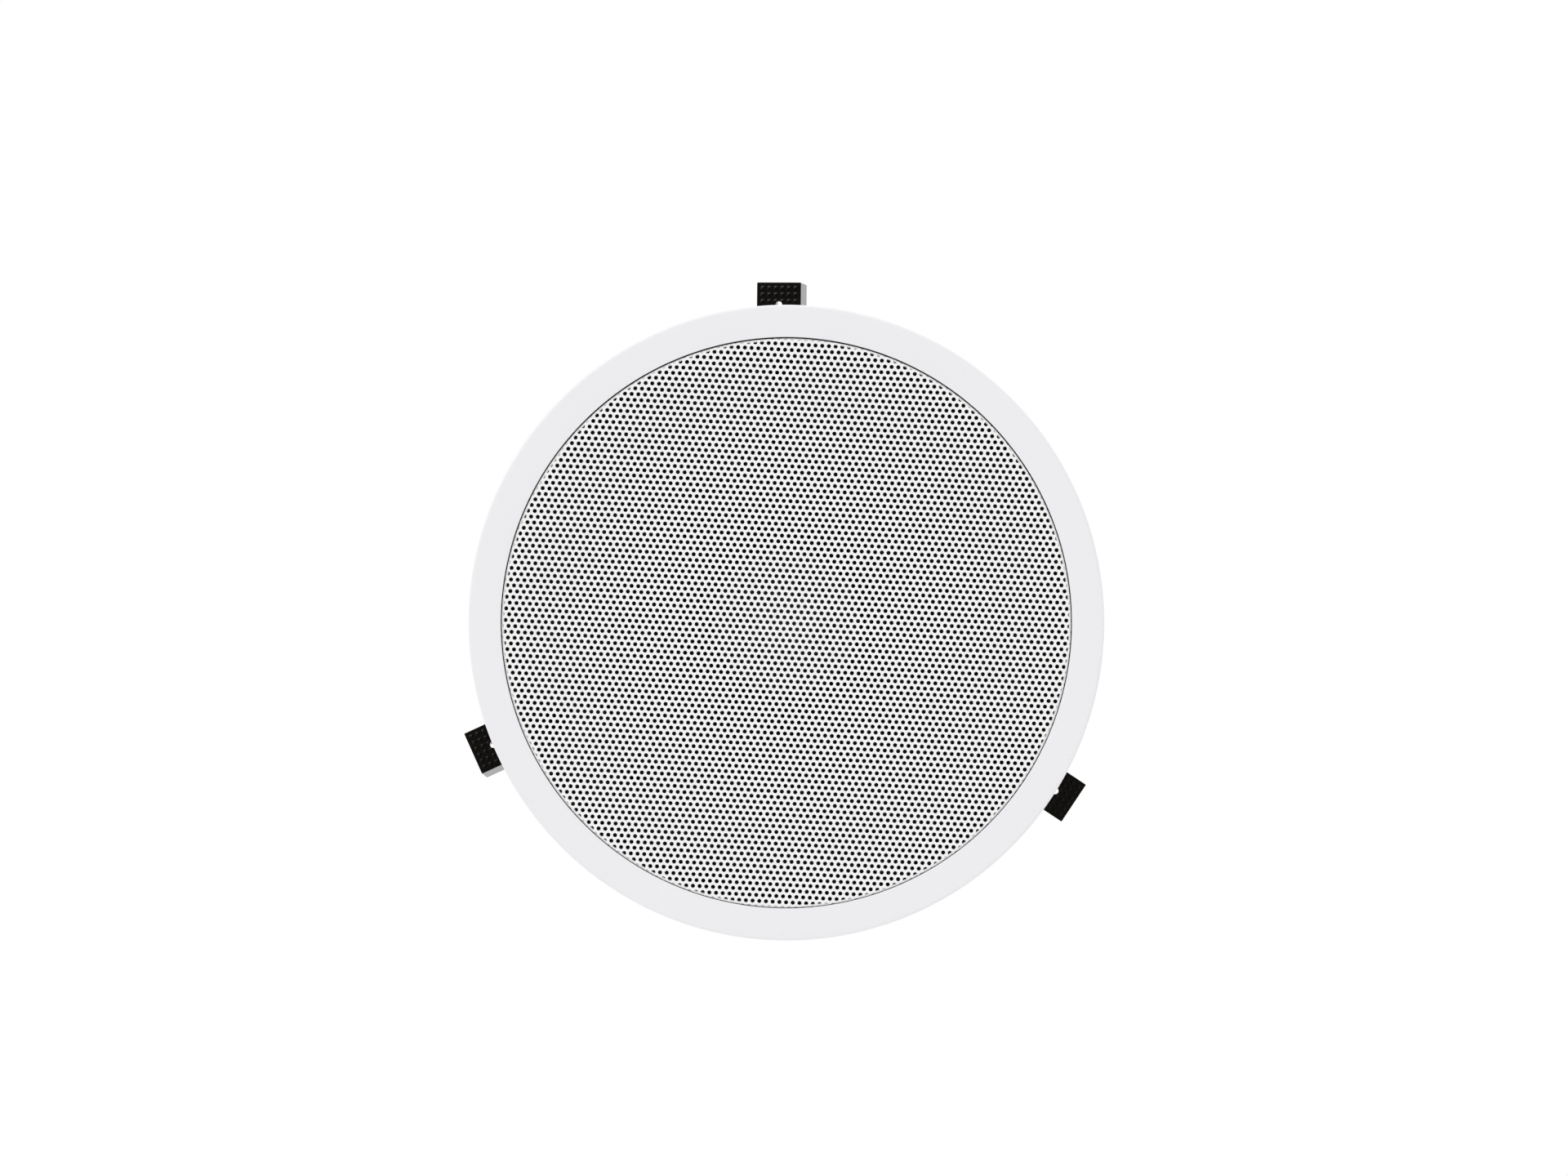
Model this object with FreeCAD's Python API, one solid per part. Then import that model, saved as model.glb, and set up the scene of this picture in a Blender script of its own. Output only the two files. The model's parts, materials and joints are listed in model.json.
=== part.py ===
import FreeCAD, Part
import math
import os

from FreeCAD import Vector

os.makedirs("parts", exist_ok=True)

# A round flush-mount speaker. Lengths are millimetres and angles are degrees. The pieces are drawn face up:
# x to the right, y up and z out of the panel, with z = 0 on the panel. Each is then stood upright.

# Grille, a pressed steel dish
grille_overlap = 1.15
grille_sheet = 0.8
grille_skirt = 3.4
grille_bend = 1.0
grille_drop = 0.1
grille_shift_right = 0.02
grille_shift_up = -0.14
# The field of round holes keeps the sheet's open share of 31 percent, in rows that lean a little
hole_diameter = 10.2
hole_pitch = 17.5
hole_row_tilt = -3.03
hole_margin = 4.5

# Trim ring
ring_face = 6.5
ring_width = 12.04
ring_edge_round = 1.2
recess_gap = 0.36
recess_edge_round = 0.3

# Mounting frame behind the ring, with the can that fills the hole in the panel
frame_flange_setback = 6.55
frame_flange_thickness = 1.8
frame_pocket_gap = 0.3
grille_seat_width = 2.8
grille_seat_gap = 0.3
can_margin = 10.5
can_wall = 2.5
can_depth = 10.5
baffle_depth = 5.5
baffle_thickness = 3.0
rib_thickness = 1.6
rib_count = 18
baffle_rim = 1.8

# Foam gasket in the back of the ring
gasket_width = 2.8
gasket_thickness = 1.1
gasket_inset = 1.85
gasket_gap = 0.1

# Countersunk screws from the frame into the ring
ring_screw_count = 6
ring_screw_edge = 3.0
ring_screw_diameter = 2.5
ring_screw_head = 4.8
ring_screw_head_height = 1.15
ring_screw_length = 5.0

# Thread and shank clearances
thread_gap = 0.05
shank_gap = 0.2
turning_gap = 0.2

# Woofer basket, pressed from steel sheet
basket_sheet = 1.2
basket_body_diameter = 150.4
basket_flange_width = 8.3
basket_wall_depth = 11.7
basket_shelf_depth = 26.7
basket_shelf_diameter = 94.0
basket_cup_diameter = 83.4
basket_cup_depth = 39.2
basket_floor_hole = 40.0
baffle_hole_gap = 0.8
window_count = 8
window_width = 21.0
window_inner_width = 14.0
window_edge = 2.2
woofer_screw_count = 4
woofer_screw_start_angle = 45.0
woofer_screw_edge = 3.3
woofer_screw_diameter = 2.8
woofer_screw_head = 5.6
woofer_screw_head_height = 2.0
woofer_screw_length = 5.6
woofer_boss_diameter = 7.0

# Cone, its two suspensions and the voice coil
surround_roll_radius = 4.5
surround_roll_inset = 5.7
surround_sheet = 0.6
surround_lip = 3.2
woofer_gasket_width = 2.8
woofer_gasket_thickness = 1.7
cone_paper = 0.9
cone_glue_lip = 3.4
cone_lip_gap = 0.2
cone_depth = 24.4
cone_bow = 2.6
cone_collar = 3.2
cone_collar_wall = 0.7
former_inner_diameter = 32.0
former_wall = 0.4
former_above_neck = 2.6
glue_gap = 0.05
coil_wall = 0.75
coil_length = 12.0
coil_below_gap = 3.0
spider_cloth = 0.5
spider_wave = 1.0
spider_folds = 4
spider_collar = 1.0

# Magnet system
pole_gap = 0.7
plate_diameter = 84.0
top_plate_thickness = 5.5
magnet_diameter = 90.0
magnet_hole = 46.0
magnet_height = 15.0
magnet_edge = 1.2
yoke_plate_thickness = 5.5
yoke_edge = 1.5
pole_bore = 6.4

# Tweeter on a post in the middle of the cone
tweeter_diameter = 54.0
tweeter_front = 1.0
tweeter_height = 18.0
tweeter_rim = 6.0
tweeter_back_diameter = 28.0
tweeter_wall = 2.0
tweeter_floor = 3.0
tweeter_motor_diameter = 27.0
tweeter_motor_height = 9.5
tweeter_face_thickness = 2.4
tweeter_ridge_diameter = 34.6
tweeter_mouth_diameter = 26.4
tweeter_face_gap = 0.1
dome_diameter = 25.0
dome_rise = 4.2
dome_skin = 0.5
dome_flange = 2.2
post_diameter = 13.0
post_foot_diameter = 20.0
post_foot_height = 2.0
post_tenon_diameter = 7.0
post_bolt_diameter = 6.0
post_bolt_head = 10.0
post_bolt_head_height = 3.2
post_bolt_grip = 13.0

# Terminals on the basket
strip_width = 16.0
strip_thickness = 3.0
strip_height = 8.0
strip_angle = 270.0
tag_width = 4.8
tag_thickness = 0.8
tag_length = 8.0
tag_spacing = 9.0
tag_sunk = 1.5

# Crossover board below the woofer, behind the baffle
board_width = 60.0
board_height = 22.0
board_thickness = 1.6
board_inset = 1.8
standoff_height = 4.0
standoff_diameter = 6.0
board_hole_inset = 2.8
board_screw_diameter = 2.2
board_screw_head = 4.4
board_screw_head_height = 1.6
board_screw_length = 5.0
inductor_diameter = 17.0
inductor_core_diameter = 8.0
inductor_height = 12.0
inductor_cheek = 1.2
inductor_at = 13.0
capacitor_diameter = 10.0
capacitor_length = 19.0
capacitor_at = 34.0
capacitor_edge = 0.6
resistor_length = 17.0
resistor_width = 6.0
resistor_height = 6.0
block_width = 10.4
block_depth = 8.0
block_height = 10.0
block_at = 51.0
block_chamfer = 2.5
wire_hole_diameter = 3.0
wire_hole_spacing = 5.0
wire_hole_height = 3.4
block_screw_diameter = 3.2
block_screw_height = 3.0
block_screw_gap = 0.1

# Three clamps: where each screw stands, which way its arm points and how far the arm leans on its screw
clamp_screw_angles = [91.2, 202.8, 328.3]
clamp_arm_angles = [89.4, 204.6, 326.4]
clamp_arm_leans = [-8.5, 8.5, 0.0]
clamp_screw_offset = 11.0
clamp_face_depth = 24.0
clamp_travel_back = 16.0
arm_reach = 34.1
arm_width = 16.8
arm_depth = 15.0
arm_plate = 2.5
arm_wall = 1.6
arm_corner = 0.4
arm_boss_wall = 1.7
arm_rib_spacing = 6.4
arm_rib = 1.2
peephole_diameter = 2.5
peephole_from_tip = 8.4
tooth_pitch = 2.5
tooth_base = 1.4
tooth_top = 0.2
tooth_height = 0.45
tooth_columns = 6
tooth_rows = 8
first_tooth_row = 2.0
nut_diameter = 8.0
nut_height = 5.0
nut_pocket_gap = 0.9
nut_shoulder_gap = 0.8
plate_hole_gap = 1.75
clamp_screw_diameter = 4.0
clamp_screw_head = 8.0
clamp_screw_head_height = 3.0
clamp_screw_boss = 9.0
clamp_screw_boss_height = 3.0
clamp_screw_end = 3.0
tower_wall = 2.2
tower_inner_gap = 1.5
tower_stop_gap = 0.7
tower_side = 4.5
tower_bridge = 2.5
tower_end_gap = 1.0
retainer_diameter = 8.4
retainer_thickness = 0.8
retainer_gap = 0.3

# Places that follow from the sizes above. The basket sets those further out, one after another: the clamp
# screws round its flange, the can, the grille and the trim ring.
basket_body_radius = basket_body_diameter / 2
basket_flange_radius = basket_body_radius + basket_flange_width
clamp_screw_place = basket_flange_radius + clamp_screw_offset
can_radius = clamp_screw_place + can_margin
grille_radius = can_radius + grille_overlap
recess_radius = grille_radius + recess_gap
ring_radius = recess_radius + ring_width
grille_top = ring_face - grille_drop
recess_floor = grille_top - grille_skirt
frame_flange_radius = ring_radius - frame_flange_setback
can_inside = can_radius - can_wall
baffle_front = -baffle_depth
baffle_back = baffle_front - baffle_thickness
can_back = -can_depth
basket_front = baffle_front + basket_sheet
baffle_hole_radius = basket_body_radius + baffle_hole_gap
shelf_top = basket_front - basket_shelf_depth
cup_floor_top = basket_front - basket_cup_depth
cup_floor_back = cup_floor_top - basket_sheet
roll_radius_centre = basket_body_radius - surround_roll_inset
lip_top = basket_front + surround_sheet
former_inside = former_inner_diameter / 2
former_outside = former_inside + former_wall
neck_radius = former_outside + glue_gap
coil_radius = neck_radius + coil_wall
pole_radius = former_inside - pole_gap
gap_radius = coil_radius + pole_gap
top_plate_back = cup_floor_back - top_plate_thickness
magnet_back = top_plate_back - magnet_height
yoke_back = magnet_back - yoke_plate_thickness
tweeter_back = tweeter_front - tweeter_height
board_front = baffle_back - standoff_height
board_back = board_front - board_thickness
arm_half = arm_width / 2
arm_middle = arm_depth / 2
screw_radius = clamp_screw_diameter / 2
largest_lean = max(abs(lean) for lean in clamp_arm_leans)
lean_sway = arm_middle * math.sin(math.radians(largest_lean))
lean_dip = arm_half * math.sin(math.radians(largest_lean))
arm_front = -clamp_face_depth - tooth_height
tower_end = arm_front - clamp_travel_back - arm_depth - lean_dip - tower_end_gap
screw_end = tower_end - tower_bridge - clamp_screw_end


def section(start, *steps):
    """A closed face of radius and height. A step is the next corner, or an arc's middle and end."""
    edges = []
    here = Vector(start[0], 0, start[1])
    home = here
    for step in steps + (start,):
        if isinstance(step[0], tuple):
            on_arc = Vector(step[0][0], 0, step[0][1])
            there = Vector(step[1][0], 0, step[1][1])
            edges.append(Part.Arc(here, on_arc, there).toShape())
        else:
            there = Vector(step[0], 0, step[1])
            if there.distanceToPoint(here) > 1e-6:
                edges.append(Part.makeLine(here, there))
        here = there
    if here.distanceToPoint(home) > 1e-6:
        edges.append(Part.makeLine(here, home))
    return Part.Face(Part.Wire(edges))


def turning(start, *steps):
    """The solid that a section sweeps round the speaker's axis."""
    return section(start, *steps).revolve(Vector(0, 0, 0), Vector(0, 0, 1), 360)


def on_circle(centre, radius, degrees):
    """A point of a section, on a circle about another point."""
    angle = math.radians(degrees)
    return (centre[0] + radius * math.cos(angle), centre[1] + radius * math.sin(angle))


def ring(inner, outer, bottom, top):
    """A flat ring about the axis."""
    return turning((inner, bottom), (outer, bottom), (outer, top), (inner, top))


def disc(radius, bottom, top):
    """A round bar about the axis."""
    return Part.makeCylinder(radius, top - bottom, Vector(0, 0, bottom))


def block(left, right, low, high, bottom, top):
    """A rectangular block between its six faces."""
    return Part.makeBox(right - left, high - low, top - bottom, Vector(left, low, bottom))


def turned(shape, degrees):
    """A copy turned about the axis."""
    copy = shape.copy()
    copy.rotate(Vector(0, 0, 0), Vector(0, 0, 1), degrees)
    return copy


def moved(shape, right=0.0, up=0.0, out=0.0):
    """A copy moved by a distance."""
    copy = shape.copy()
    copy.translate(Vector(right, up, out))
    return copy


def spread(shape, count, first=0.0):
    """Copies at equal angles round the axis."""
    return [turned(shape, first + index * 360.0 / count) for index in range(count)]


def at_clamp(shape, index):
    """A copy drawn about a clamp's screw, with x outward, put in its place on the speaker."""
    return turned(moved(shape, right=clamp_screw_place), clamp_screw_angles[index])


def save(name, *solids):
    """Stands a piece upright, with its face to the front, and writes it."""
    piece = solids[0] if len(solids) == 1 else Part.makeCompound(list(solids))
    piece = piece.copy()
    piece.rotate(Vector(0, 0, 0), Vector(1, 0, 0), 90)
    piece.exportStep("parts/" + name + ".step")


# Grille: a dish with a rounded edge and a field of holes in its flat face
bend_centre = (grille_radius - grille_bend, grille_top - grille_bend)
inner_bend = grille_bend - grille_sheet
grille = turning(
    (0, grille_top),
    (bend_centre[0], grille_top),
    (on_circle(bend_centre, grille_bend, 45), (grille_radius, bend_centre[1])),
    (grille_radius, recess_floor),
    (grille_radius - grille_sheet, recess_floor),
    (grille_radius - grille_sheet, bend_centre[1]),
    (on_circle(bend_centre, inner_bend, 45), (bend_centre[0], grille_top - grille_sheet)),
    (0, grille_top - grille_sheet),
)
field_radius = grille_radius - grille_bend - hole_margin - hole_diameter / 2
row_height = hole_pitch * math.sqrt(3) / 2
rows_each_way = int(field_radius / row_height) + 1
columns_each_way = int(field_radius / hole_pitch) + 1
grille_hole = disc(hole_diameter / 2, grille_top - 2 * grille_sheet, grille_top + grille_sheet)
grille_holes = []
for row in range(-rows_each_way, rows_each_way + 1):
    for column in range(-columns_each_way, columns_each_way + 1):
        across = (column + 0.5 * (row % 2)) * hole_pitch
        along = row * row_height
        if math.hypot(across, along) <= field_radius:
            grille_holes.append(turned(moved(grille_hole, across, along), hole_row_tilt))
grille = grille.cut(grille_holes)
save("grille", moved(grille, grille_shift_right, grille_shift_up))

# Trim ring: a flat face, a soft outer edge, the wall round the grille and a pocket for the frame behind
groove_outside = ring_radius - gasket_inset + gasket_gap
groove_inside = groove_outside - gasket_width - 2 * gasket_gap
pocket_radius = frame_flange_radius + frame_pocket_gap
edge_centre = (ring_radius - ring_edge_round, ring_face - ring_edge_round)
lip_centre = (recess_radius + recess_edge_round, ring_face - recess_edge_round)
trim_ring = turning(
    (recess_radius, frame_flange_thickness),
    (pocket_radius, frame_flange_thickness),
    (pocket_radius, 0),
    (groove_inside, 0),
    (groove_inside, gasket_thickness + gasket_gap),
    (groove_outside, gasket_thickness + gasket_gap),
    (groove_outside, 0),
    (ring_radius, 0),
    (ring_radius, edge_centre[1]),
    (on_circle(edge_centre, ring_edge_round, 45), (edge_centre[0], ring_face)),
    (lip_centre[0], ring_face),
    (on_circle(lip_centre, recess_edge_round, 135), (recess_radius, lip_centre[1])),
)
ring_screw_radius = ring_screw_diameter / 2
ring_screw_place = frame_flange_radius - ring_screw_edge
ring_pilot = moved(disc(ring_screw_radius + thread_gap, 0, ring_screw_length + 0.2), ring_screw_place)
trim_ring = trim_ring.cut(spread(ring_pilot, ring_screw_count))
save("trim_ring", trim_ring)

# Panel gasket, level with the back of the ring
gasket_outside = groove_outside - gasket_gap
save("panel_gasket", ring(gasket_outside - gasket_width, gasket_outside, 0, gasket_thickness))

# Ring screws, countersunk into the back of the frame's flange
ring_screw = turning(
    (0, 0),
    (ring_screw_head / 2, 0),
    (ring_screw_radius, ring_screw_head_height),
    (ring_screw_radius, ring_screw_length),
    (0, ring_screw_length),
)
save("ring_screws", *spread(moved(ring_screw, ring_screw_place), ring_screw_count))
ring_screw_sink = turning(
    (0, -shank_gap),
    (ring_screw_head / 2 + shank_gap, -shank_gap),
    (ring_screw_head / 2 + shank_gap, 0),
    (ring_screw_radius + shank_gap, ring_screw_head_height),
    (ring_screw_radius + shank_gap, frame_flange_thickness + shank_gap),
    (0, frame_flange_thickness + shank_gap),
)

# Mounting frame: flange, grille seat, can and baffle in one profile, then ribs, bosses and clamp towers
seat_outside = recess_radius - grille_seat_gap
seat_inside = seat_outside - grille_seat_width
frame = turning(
    (baffle_hole_radius, baffle_back),
    (can_inside, baffle_back),
    (can_inside, can_back),
    (can_radius, can_back),
    (can_radius, 0),
    (frame_flange_radius, 0),
    (frame_flange_radius, frame_flange_thickness),
    (seat_outside, frame_flange_thickness),
    (seat_outside, recess_floor),
    (seat_inside, recess_floor),
    (seat_inside, frame_flange_thickness),
    (can_inside, frame_flange_thickness),
    (can_inside, baffle_front),
    (baffle_hole_radius, baffle_front),
)
rim_ring = ring(baffle_hole_radius, baffle_hole_radius + baffle_rim, can_back, baffle_back)
rib = block(
    baffle_hole_radius + baffle_rim / 2, can_radius - can_wall / 2,
    -rib_thickness / 2, rib_thickness / 2, can_back, baffle_back,
)
woofer_screw_place = basket_flange_radius - woofer_screw_edge
woofer_boss = moved(disc(woofer_boss_diameter / 2, can_back, baffle_back), woofer_screw_place)
woofer_bosses = spread(woofer_boss, woofer_screw_count, woofer_screw_start_angle)

# One clamp tower, drawn about its screw: an inner wall, a wall that stops the arm and a bridge for the screw
tower_inner_face = -arm_half - tower_inner_gap
tower_stop_face = -arm_half - lean_sway - tower_stop_gap
tower_inner_wall = block(
    tower_inner_face - tower_wall, tower_inner_face,
    tower_stop_face - tower_wall, 0, tower_end - tower_bridge, baffle_back,
)
tower_stop_wall = block(
    tower_inner_face - tower_wall, tower_side,
    tower_stop_face - tower_wall, tower_stop_face, tower_end - tower_bridge, baffle_back,
)
tower_bridge_plate = block(
    tower_inner_face - tower_wall, tower_side,
    tower_stop_face - tower_wall, tower_side, tower_end - tower_bridge, tower_end,
)
screw_boss = disc(clamp_screw_boss / 2, baffle_back - clamp_screw_boss_height, baffle_back)
tower = tower_inner_wall.fuse([tower_stop_wall, tower_bridge_plate, screw_boss])
towers = [at_clamp(tower, index) for index in range(len(clamp_screw_angles))]
screw_way = disc(screw_radius + turning_gap, screw_end, 0)
screw_ways = [at_clamp(screw_way, index) for index in range(len(clamp_screw_angles))]

# The crossover board stands on four pegs below the woofer
board_low = -baffle_hole_radius - baffle_rim + board_inset - board_height
board_high = board_low + board_height
board_hole_across = board_width / 2 - board_hole_inset
board_holes = [
    (side * board_hole_across, level)
    for side in (-1, 1)
    for level in (board_low + board_hole_inset, board_high - board_hole_inset)
]
standoff = disc(standoff_diameter / 2, board_front, baffle_back)
standoffs = [moved(standoff, across, level) for across, level in board_holes]

ribs = spread(rib, rib_count, 180.0 / rib_count)
frame = frame.fuse([rim_ring] + ribs + woofer_bosses + towers + standoffs)
woofer_pilot = moved(
    disc(woofer_screw_diameter / 2 + thread_gap, can_back, baffle_front), woofer_screw_place
)
board_pilot = disc(board_screw_diameter / 2 + thread_gap, board_front, board_front + board_screw_length)
frame_cuts = spread(moved(ring_screw_sink, ring_screw_place), ring_screw_count)
frame_cuts += spread(woofer_pilot, woofer_screw_count, woofer_screw_start_angle)
frame_cuts += [moved(board_pilot, across, level) for across, level in board_holes]
frame_cuts += screw_ways
frame = frame.cut(frame_cuts).removeSplitter()
save("mounting_frame", frame)

# Basket: a sheet pressing with a flange, an open cone, a shelf for the spider and a cup
inner_body = basket_body_radius - basket_sheet
shelf_radius = basket_shelf_diameter / 2
cup_radius = basket_cup_diameter / 2
wall_end = basket_front - basket_wall_depth
basket = turning(
    (basket_flange_radius, basket_front),
    (inner_body, basket_front),
    (inner_body, wall_end),
    (shelf_radius, shelf_top),
    (cup_radius - basket_sheet, shelf_top),
    (cup_radius - basket_sheet, cup_floor_top),
    (basket_floor_hole / 2, cup_floor_top),
    (basket_floor_hole / 2, cup_floor_back),
    (cup_radius, cup_floor_back),
    (cup_radius, shelf_top - basket_sheet),
    (shelf_radius, shelf_top - basket_sheet),
    (basket_body_radius, wall_end),
    (basket_body_radius, baffle_front),
    (basket_flange_radius, baffle_front),
)
window_start = shelf_radius + window_edge
window_stop = inner_body - window_edge
window_outline = Part.makePolygon([
    Vector(window_start, -window_inner_width / 2, shelf_top - 2 * basket_sheet),
    Vector(window_stop, -window_width / 2, shelf_top - 2 * basket_sheet),
    Vector(window_stop, window_width / 2, shelf_top - 2 * basket_sheet),
    Vector(window_start, window_inner_width / 2, shelf_top - 2 * basket_sheet),
    Vector(window_start, -window_inner_width / 2, shelf_top - 2 * basket_sheet),
])
window = Part.Face(window_outline).extrude(Vector(0, 0, basket_front - shelf_top))
woofer_hole = moved(
    disc(woofer_screw_diameter / 2 + shank_gap, baffle_front - 1, basket_front + 1), woofer_screw_place
)
basket_cuts = spread(window, window_count, 180.0 / window_count)
basket_cuts += spread(woofer_hole, woofer_screw_count, woofer_screw_start_angle)
save("basket", basket.cut(basket_cuts))

# Woofer screws, with round heads on the basket's flange
woofer_screw_radius = woofer_screw_diameter / 2
screw_head_top = basket_front + woofer_screw_head_height
woofer_screw = turning(
    (0, basket_front - woofer_screw_length),
    (woofer_screw_radius, basket_front - woofer_screw_length),
    (woofer_screw_radius, basket_front),
    (woofer_screw_head / 2, basket_front),
    (woofer_screw_head / 2, basket_front + woofer_screw_head_height / 2),
    (woofer_screw_head / 4, screw_head_top),
    (0, screw_head_top),
)
woofer_screw = moved(woofer_screw, woofer_screw_place)
save("woofer_screws", *spread(woofer_screw, woofer_screw_count, woofer_screw_start_angle))

# Surround: a half roll with a glued lip on each side
roll_out = surround_roll_radius + surround_sheet / 2
roll_in = surround_roll_radius - surround_sheet / 2
roll_centre = (roll_radius_centre, basket_front)
roll = turning(
    (roll_radius_centre + roll_in, basket_front),
    (roll_radius_centre + roll_out, basket_front),
    (on_circle(roll_centre, roll_out, 90), (roll_radius_centre - roll_out, basket_front)),
    (roll_radius_centre - roll_in, basket_front),
    (on_circle(roll_centre, roll_in, 90), (roll_radius_centre + roll_in, basket_front)),
)
lip_start = roll_radius_centre + surround_roll_radius
lip_stop = roll_radius_centre - surround_roll_radius
outer_lip = ring(lip_start, lip_start + surround_lip, basket_front, lip_top)
inner_lip = ring(lip_stop - surround_lip, lip_stop, basket_front, lip_top)
save("surround", roll.fuse([outer_lip, inner_lip]).removeSplitter())

# Woofer gasket, a ring on the surround's outer lip
gasket_start = roll_radius_centre + roll_out + glue_gap
save("woofer_gasket", ring(
    gasket_start, gasket_start + woofer_gasket_width, lip_top, lip_top + woofer_gasket_thickness
))

# Cone: curved paper with a flat lip under the surround and a collar on the coil former
cone_edge = lip_stop - cone_lip_gap
neck_height = basket_front - cone_depth
cone_middle = (
    (cone_edge - cone_glue_lip + neck_radius) / 2,
    (basket_front + neck_height) / 2 + cone_bow,
)
cone = turning(
    (cone_edge, basket_front),
    (cone_edge - cone_glue_lip, basket_front),
    (cone_middle, (neck_radius, neck_height)),
    (neck_radius, neck_height - cone_paper),
    (
        (cone_middle[0], cone_middle[1] - cone_paper),
        (cone_edge - cone_glue_lip, basket_front - cone_paper),
    ),
    (cone_edge, basket_front - cone_paper),
)
collar_low = neck_height - cone_paper
collar = ring(neck_radius, neck_radius + cone_collar_wall, collar_low, collar_low + cone_collar)
save("cone", cone.fuse(collar).removeSplitter())

# Coil former and the winding at its end
coil_high = cup_floor_back + coil_below_gap
coil_low = coil_high - coil_length
former_top = neck_height + former_above_neck
save("coil_former", ring(former_inside, former_outside, coil_low, former_top))
save("voice_coil", ring(neck_radius, coil_radius, coil_low, coil_high))

# Spider: folded cloth from the former to the basket's shelf
spider_middle = shelf_top + spider_cloth
spider_start = neck_radius + spider_collar
spider_stop = cup_radius - basket_sheet
fold_width = (spider_stop - spider_start) / (2 * spider_folds)
top_line = [(neck_radius, spider_middle), (spider_start, spider_middle)]
for fold in range(2 * spider_folds - 1):
    lift = spider_wave if fold % 2 else -spider_wave
    top_line.append((spider_start + (fold + 1) * fold_width, spider_middle + lift))
top_line += [(spider_stop, spider_middle), (shelf_radius, spider_middle)]
bottom_line = [(radius, height - spider_cloth) for radius, height in reversed(top_line)]
save("spider", turning(*top_line, *bottom_line))

# Magnet system: top plate, ferrite ring, and a yoke with its pole
plate_radius = plate_diameter / 2
magnet_radius = magnet_diameter / 2
save("top_plate", ring(gap_radius, plate_radius, top_plate_back, cup_floor_back))
save("magnet", turning(
    (magnet_hole / 2, magnet_back),
    (magnet_radius - magnet_edge, magnet_back),
    (magnet_radius, magnet_back + magnet_edge),
    (magnet_radius, top_plate_back - magnet_edge),
    (magnet_radius - magnet_edge, top_plate_back),
    (magnet_hole / 2, top_plate_back),
))
save("yoke", turning(
    (pole_bore / 2, yoke_back),
    (plate_radius - yoke_edge, yoke_back),
    (plate_radius, yoke_back + yoke_edge),
    (plate_radius, magnet_back),
    (pole_radius, magnet_back),
    (pole_radius, cup_floor_back),
    (pole_bore / 2, cup_floor_back),
))

# Tweeter post with a foot on the pole and a tenon in the housing, and the bolt that holds it
post_radius = post_diameter / 2
tenon_radius = post_tenon_diameter / 2
bolt_radius = post_bolt_diameter / 2
bolt_tip = cup_floor_back + post_bolt_grip
save("tweeter_post", turning(
    (bolt_radius + thread_gap, cup_floor_back),
    (post_foot_diameter / 2, cup_floor_back),
    (post_foot_diameter / 2, cup_floor_back + post_foot_height),
    (post_radius, cup_floor_back + 2 * post_foot_height),
    (post_radius, tweeter_back),
    (tenon_radius, tweeter_back),
    (tenon_radius, tweeter_back + tweeter_floor),
    (0, tweeter_back + tweeter_floor),
    (0, bolt_tip + thread_gap),
    (bolt_radius + thread_gap, bolt_tip + thread_gap),
))
save("post_bolt", turning(
    (0, yoke_back - post_bolt_head_height),
    (post_bolt_head / 2, yoke_back - post_bolt_head_height),
    (post_bolt_head / 2, yoke_back),
    (bolt_radius, yoke_back),
    (bolt_radius, bolt_tip),
    (0, bolt_tip),
))

# Tweeter housing: a cup with a straight rim and a tapered back
tweeter_radius = tweeter_diameter / 2
rim_back = tweeter_front - tweeter_rim
housing_floor = tweeter_back + tweeter_floor
motor_radius = tweeter_motor_diameter / 2
back_radius = tweeter_back_diameter / 2
face_seat = housing_floor + tweeter_motor_height
save("tweeter_housing", turning(
    (tenon_radius + thread_gap, tweeter_back),
    (back_radius, tweeter_back),
    (tweeter_radius, rim_back),
    (tweeter_radius, tweeter_front),
    (tweeter_radius - tweeter_wall, tweeter_front),
    (tweeter_radius - tweeter_wall, face_seat),
    (motor_radius + tweeter_face_gap, face_seat),
    (motor_radius + tweeter_face_gap, housing_floor),
    (tenon_radius + thread_gap, housing_floor),
))

# Tweeter motor, dome and flared face
save("tweeter_magnet", disc(motor_radius, housing_floor, face_seat))
dome_radius = dome_diameter / 2
dome_base = face_seat + dome_skin
dome_ball = (dome_radius ** 2 + dome_rise ** 2) / (2 * dome_rise)
dome_centre = (0, dome_base + dome_rise - dome_ball)
inner_ball = dome_ball - dome_skin
inner_dome = math.sqrt(inner_ball ** 2 - (face_seat - dome_centre[1]) ** 2)
dome_slope = (90 + math.degrees(math.acos(dome_radius / dome_ball))) / 2
save("tweeter_dome", turning(
    (0, dome_base + dome_rise),
    (on_circle(dome_centre, dome_ball, dome_slope), (dome_radius, dome_base)),
    (dome_radius + dome_flange, dome_base),
    (dome_radius + dome_flange, face_seat),
    (inner_dome, face_seat),
    (on_circle(dome_centre, inner_ball, dome_slope), (0, dome_base + dome_rise - dome_skin)),
))
face_top = dome_base + tweeter_face_thickness
face_outside = tweeter_radius - tweeter_wall - tweeter_face_gap
ridge_radius = tweeter_ridge_diameter / 2
mouth_radius = tweeter_mouth_diameter / 2
dome_edge = dome_radius + dome_flange + tweeter_face_gap
save("tweeter_face", turning(
    (mouth_radius, dome_base),
    (dome_edge, dome_base),
    (dome_edge, face_seat),
    (face_outside, face_seat),
    (face_outside, face_top),
    (ridge_radius + 1, dome_base + tweeter_face_thickness / 3),
    (ridge_radius, dome_base + tweeter_face_thickness * 0.6),
    (ridge_radius - 1, dome_base + tweeter_face_thickness / 3),
    (mouth_radius, dome_base + tweeter_face_thickness / 4),
))

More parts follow.
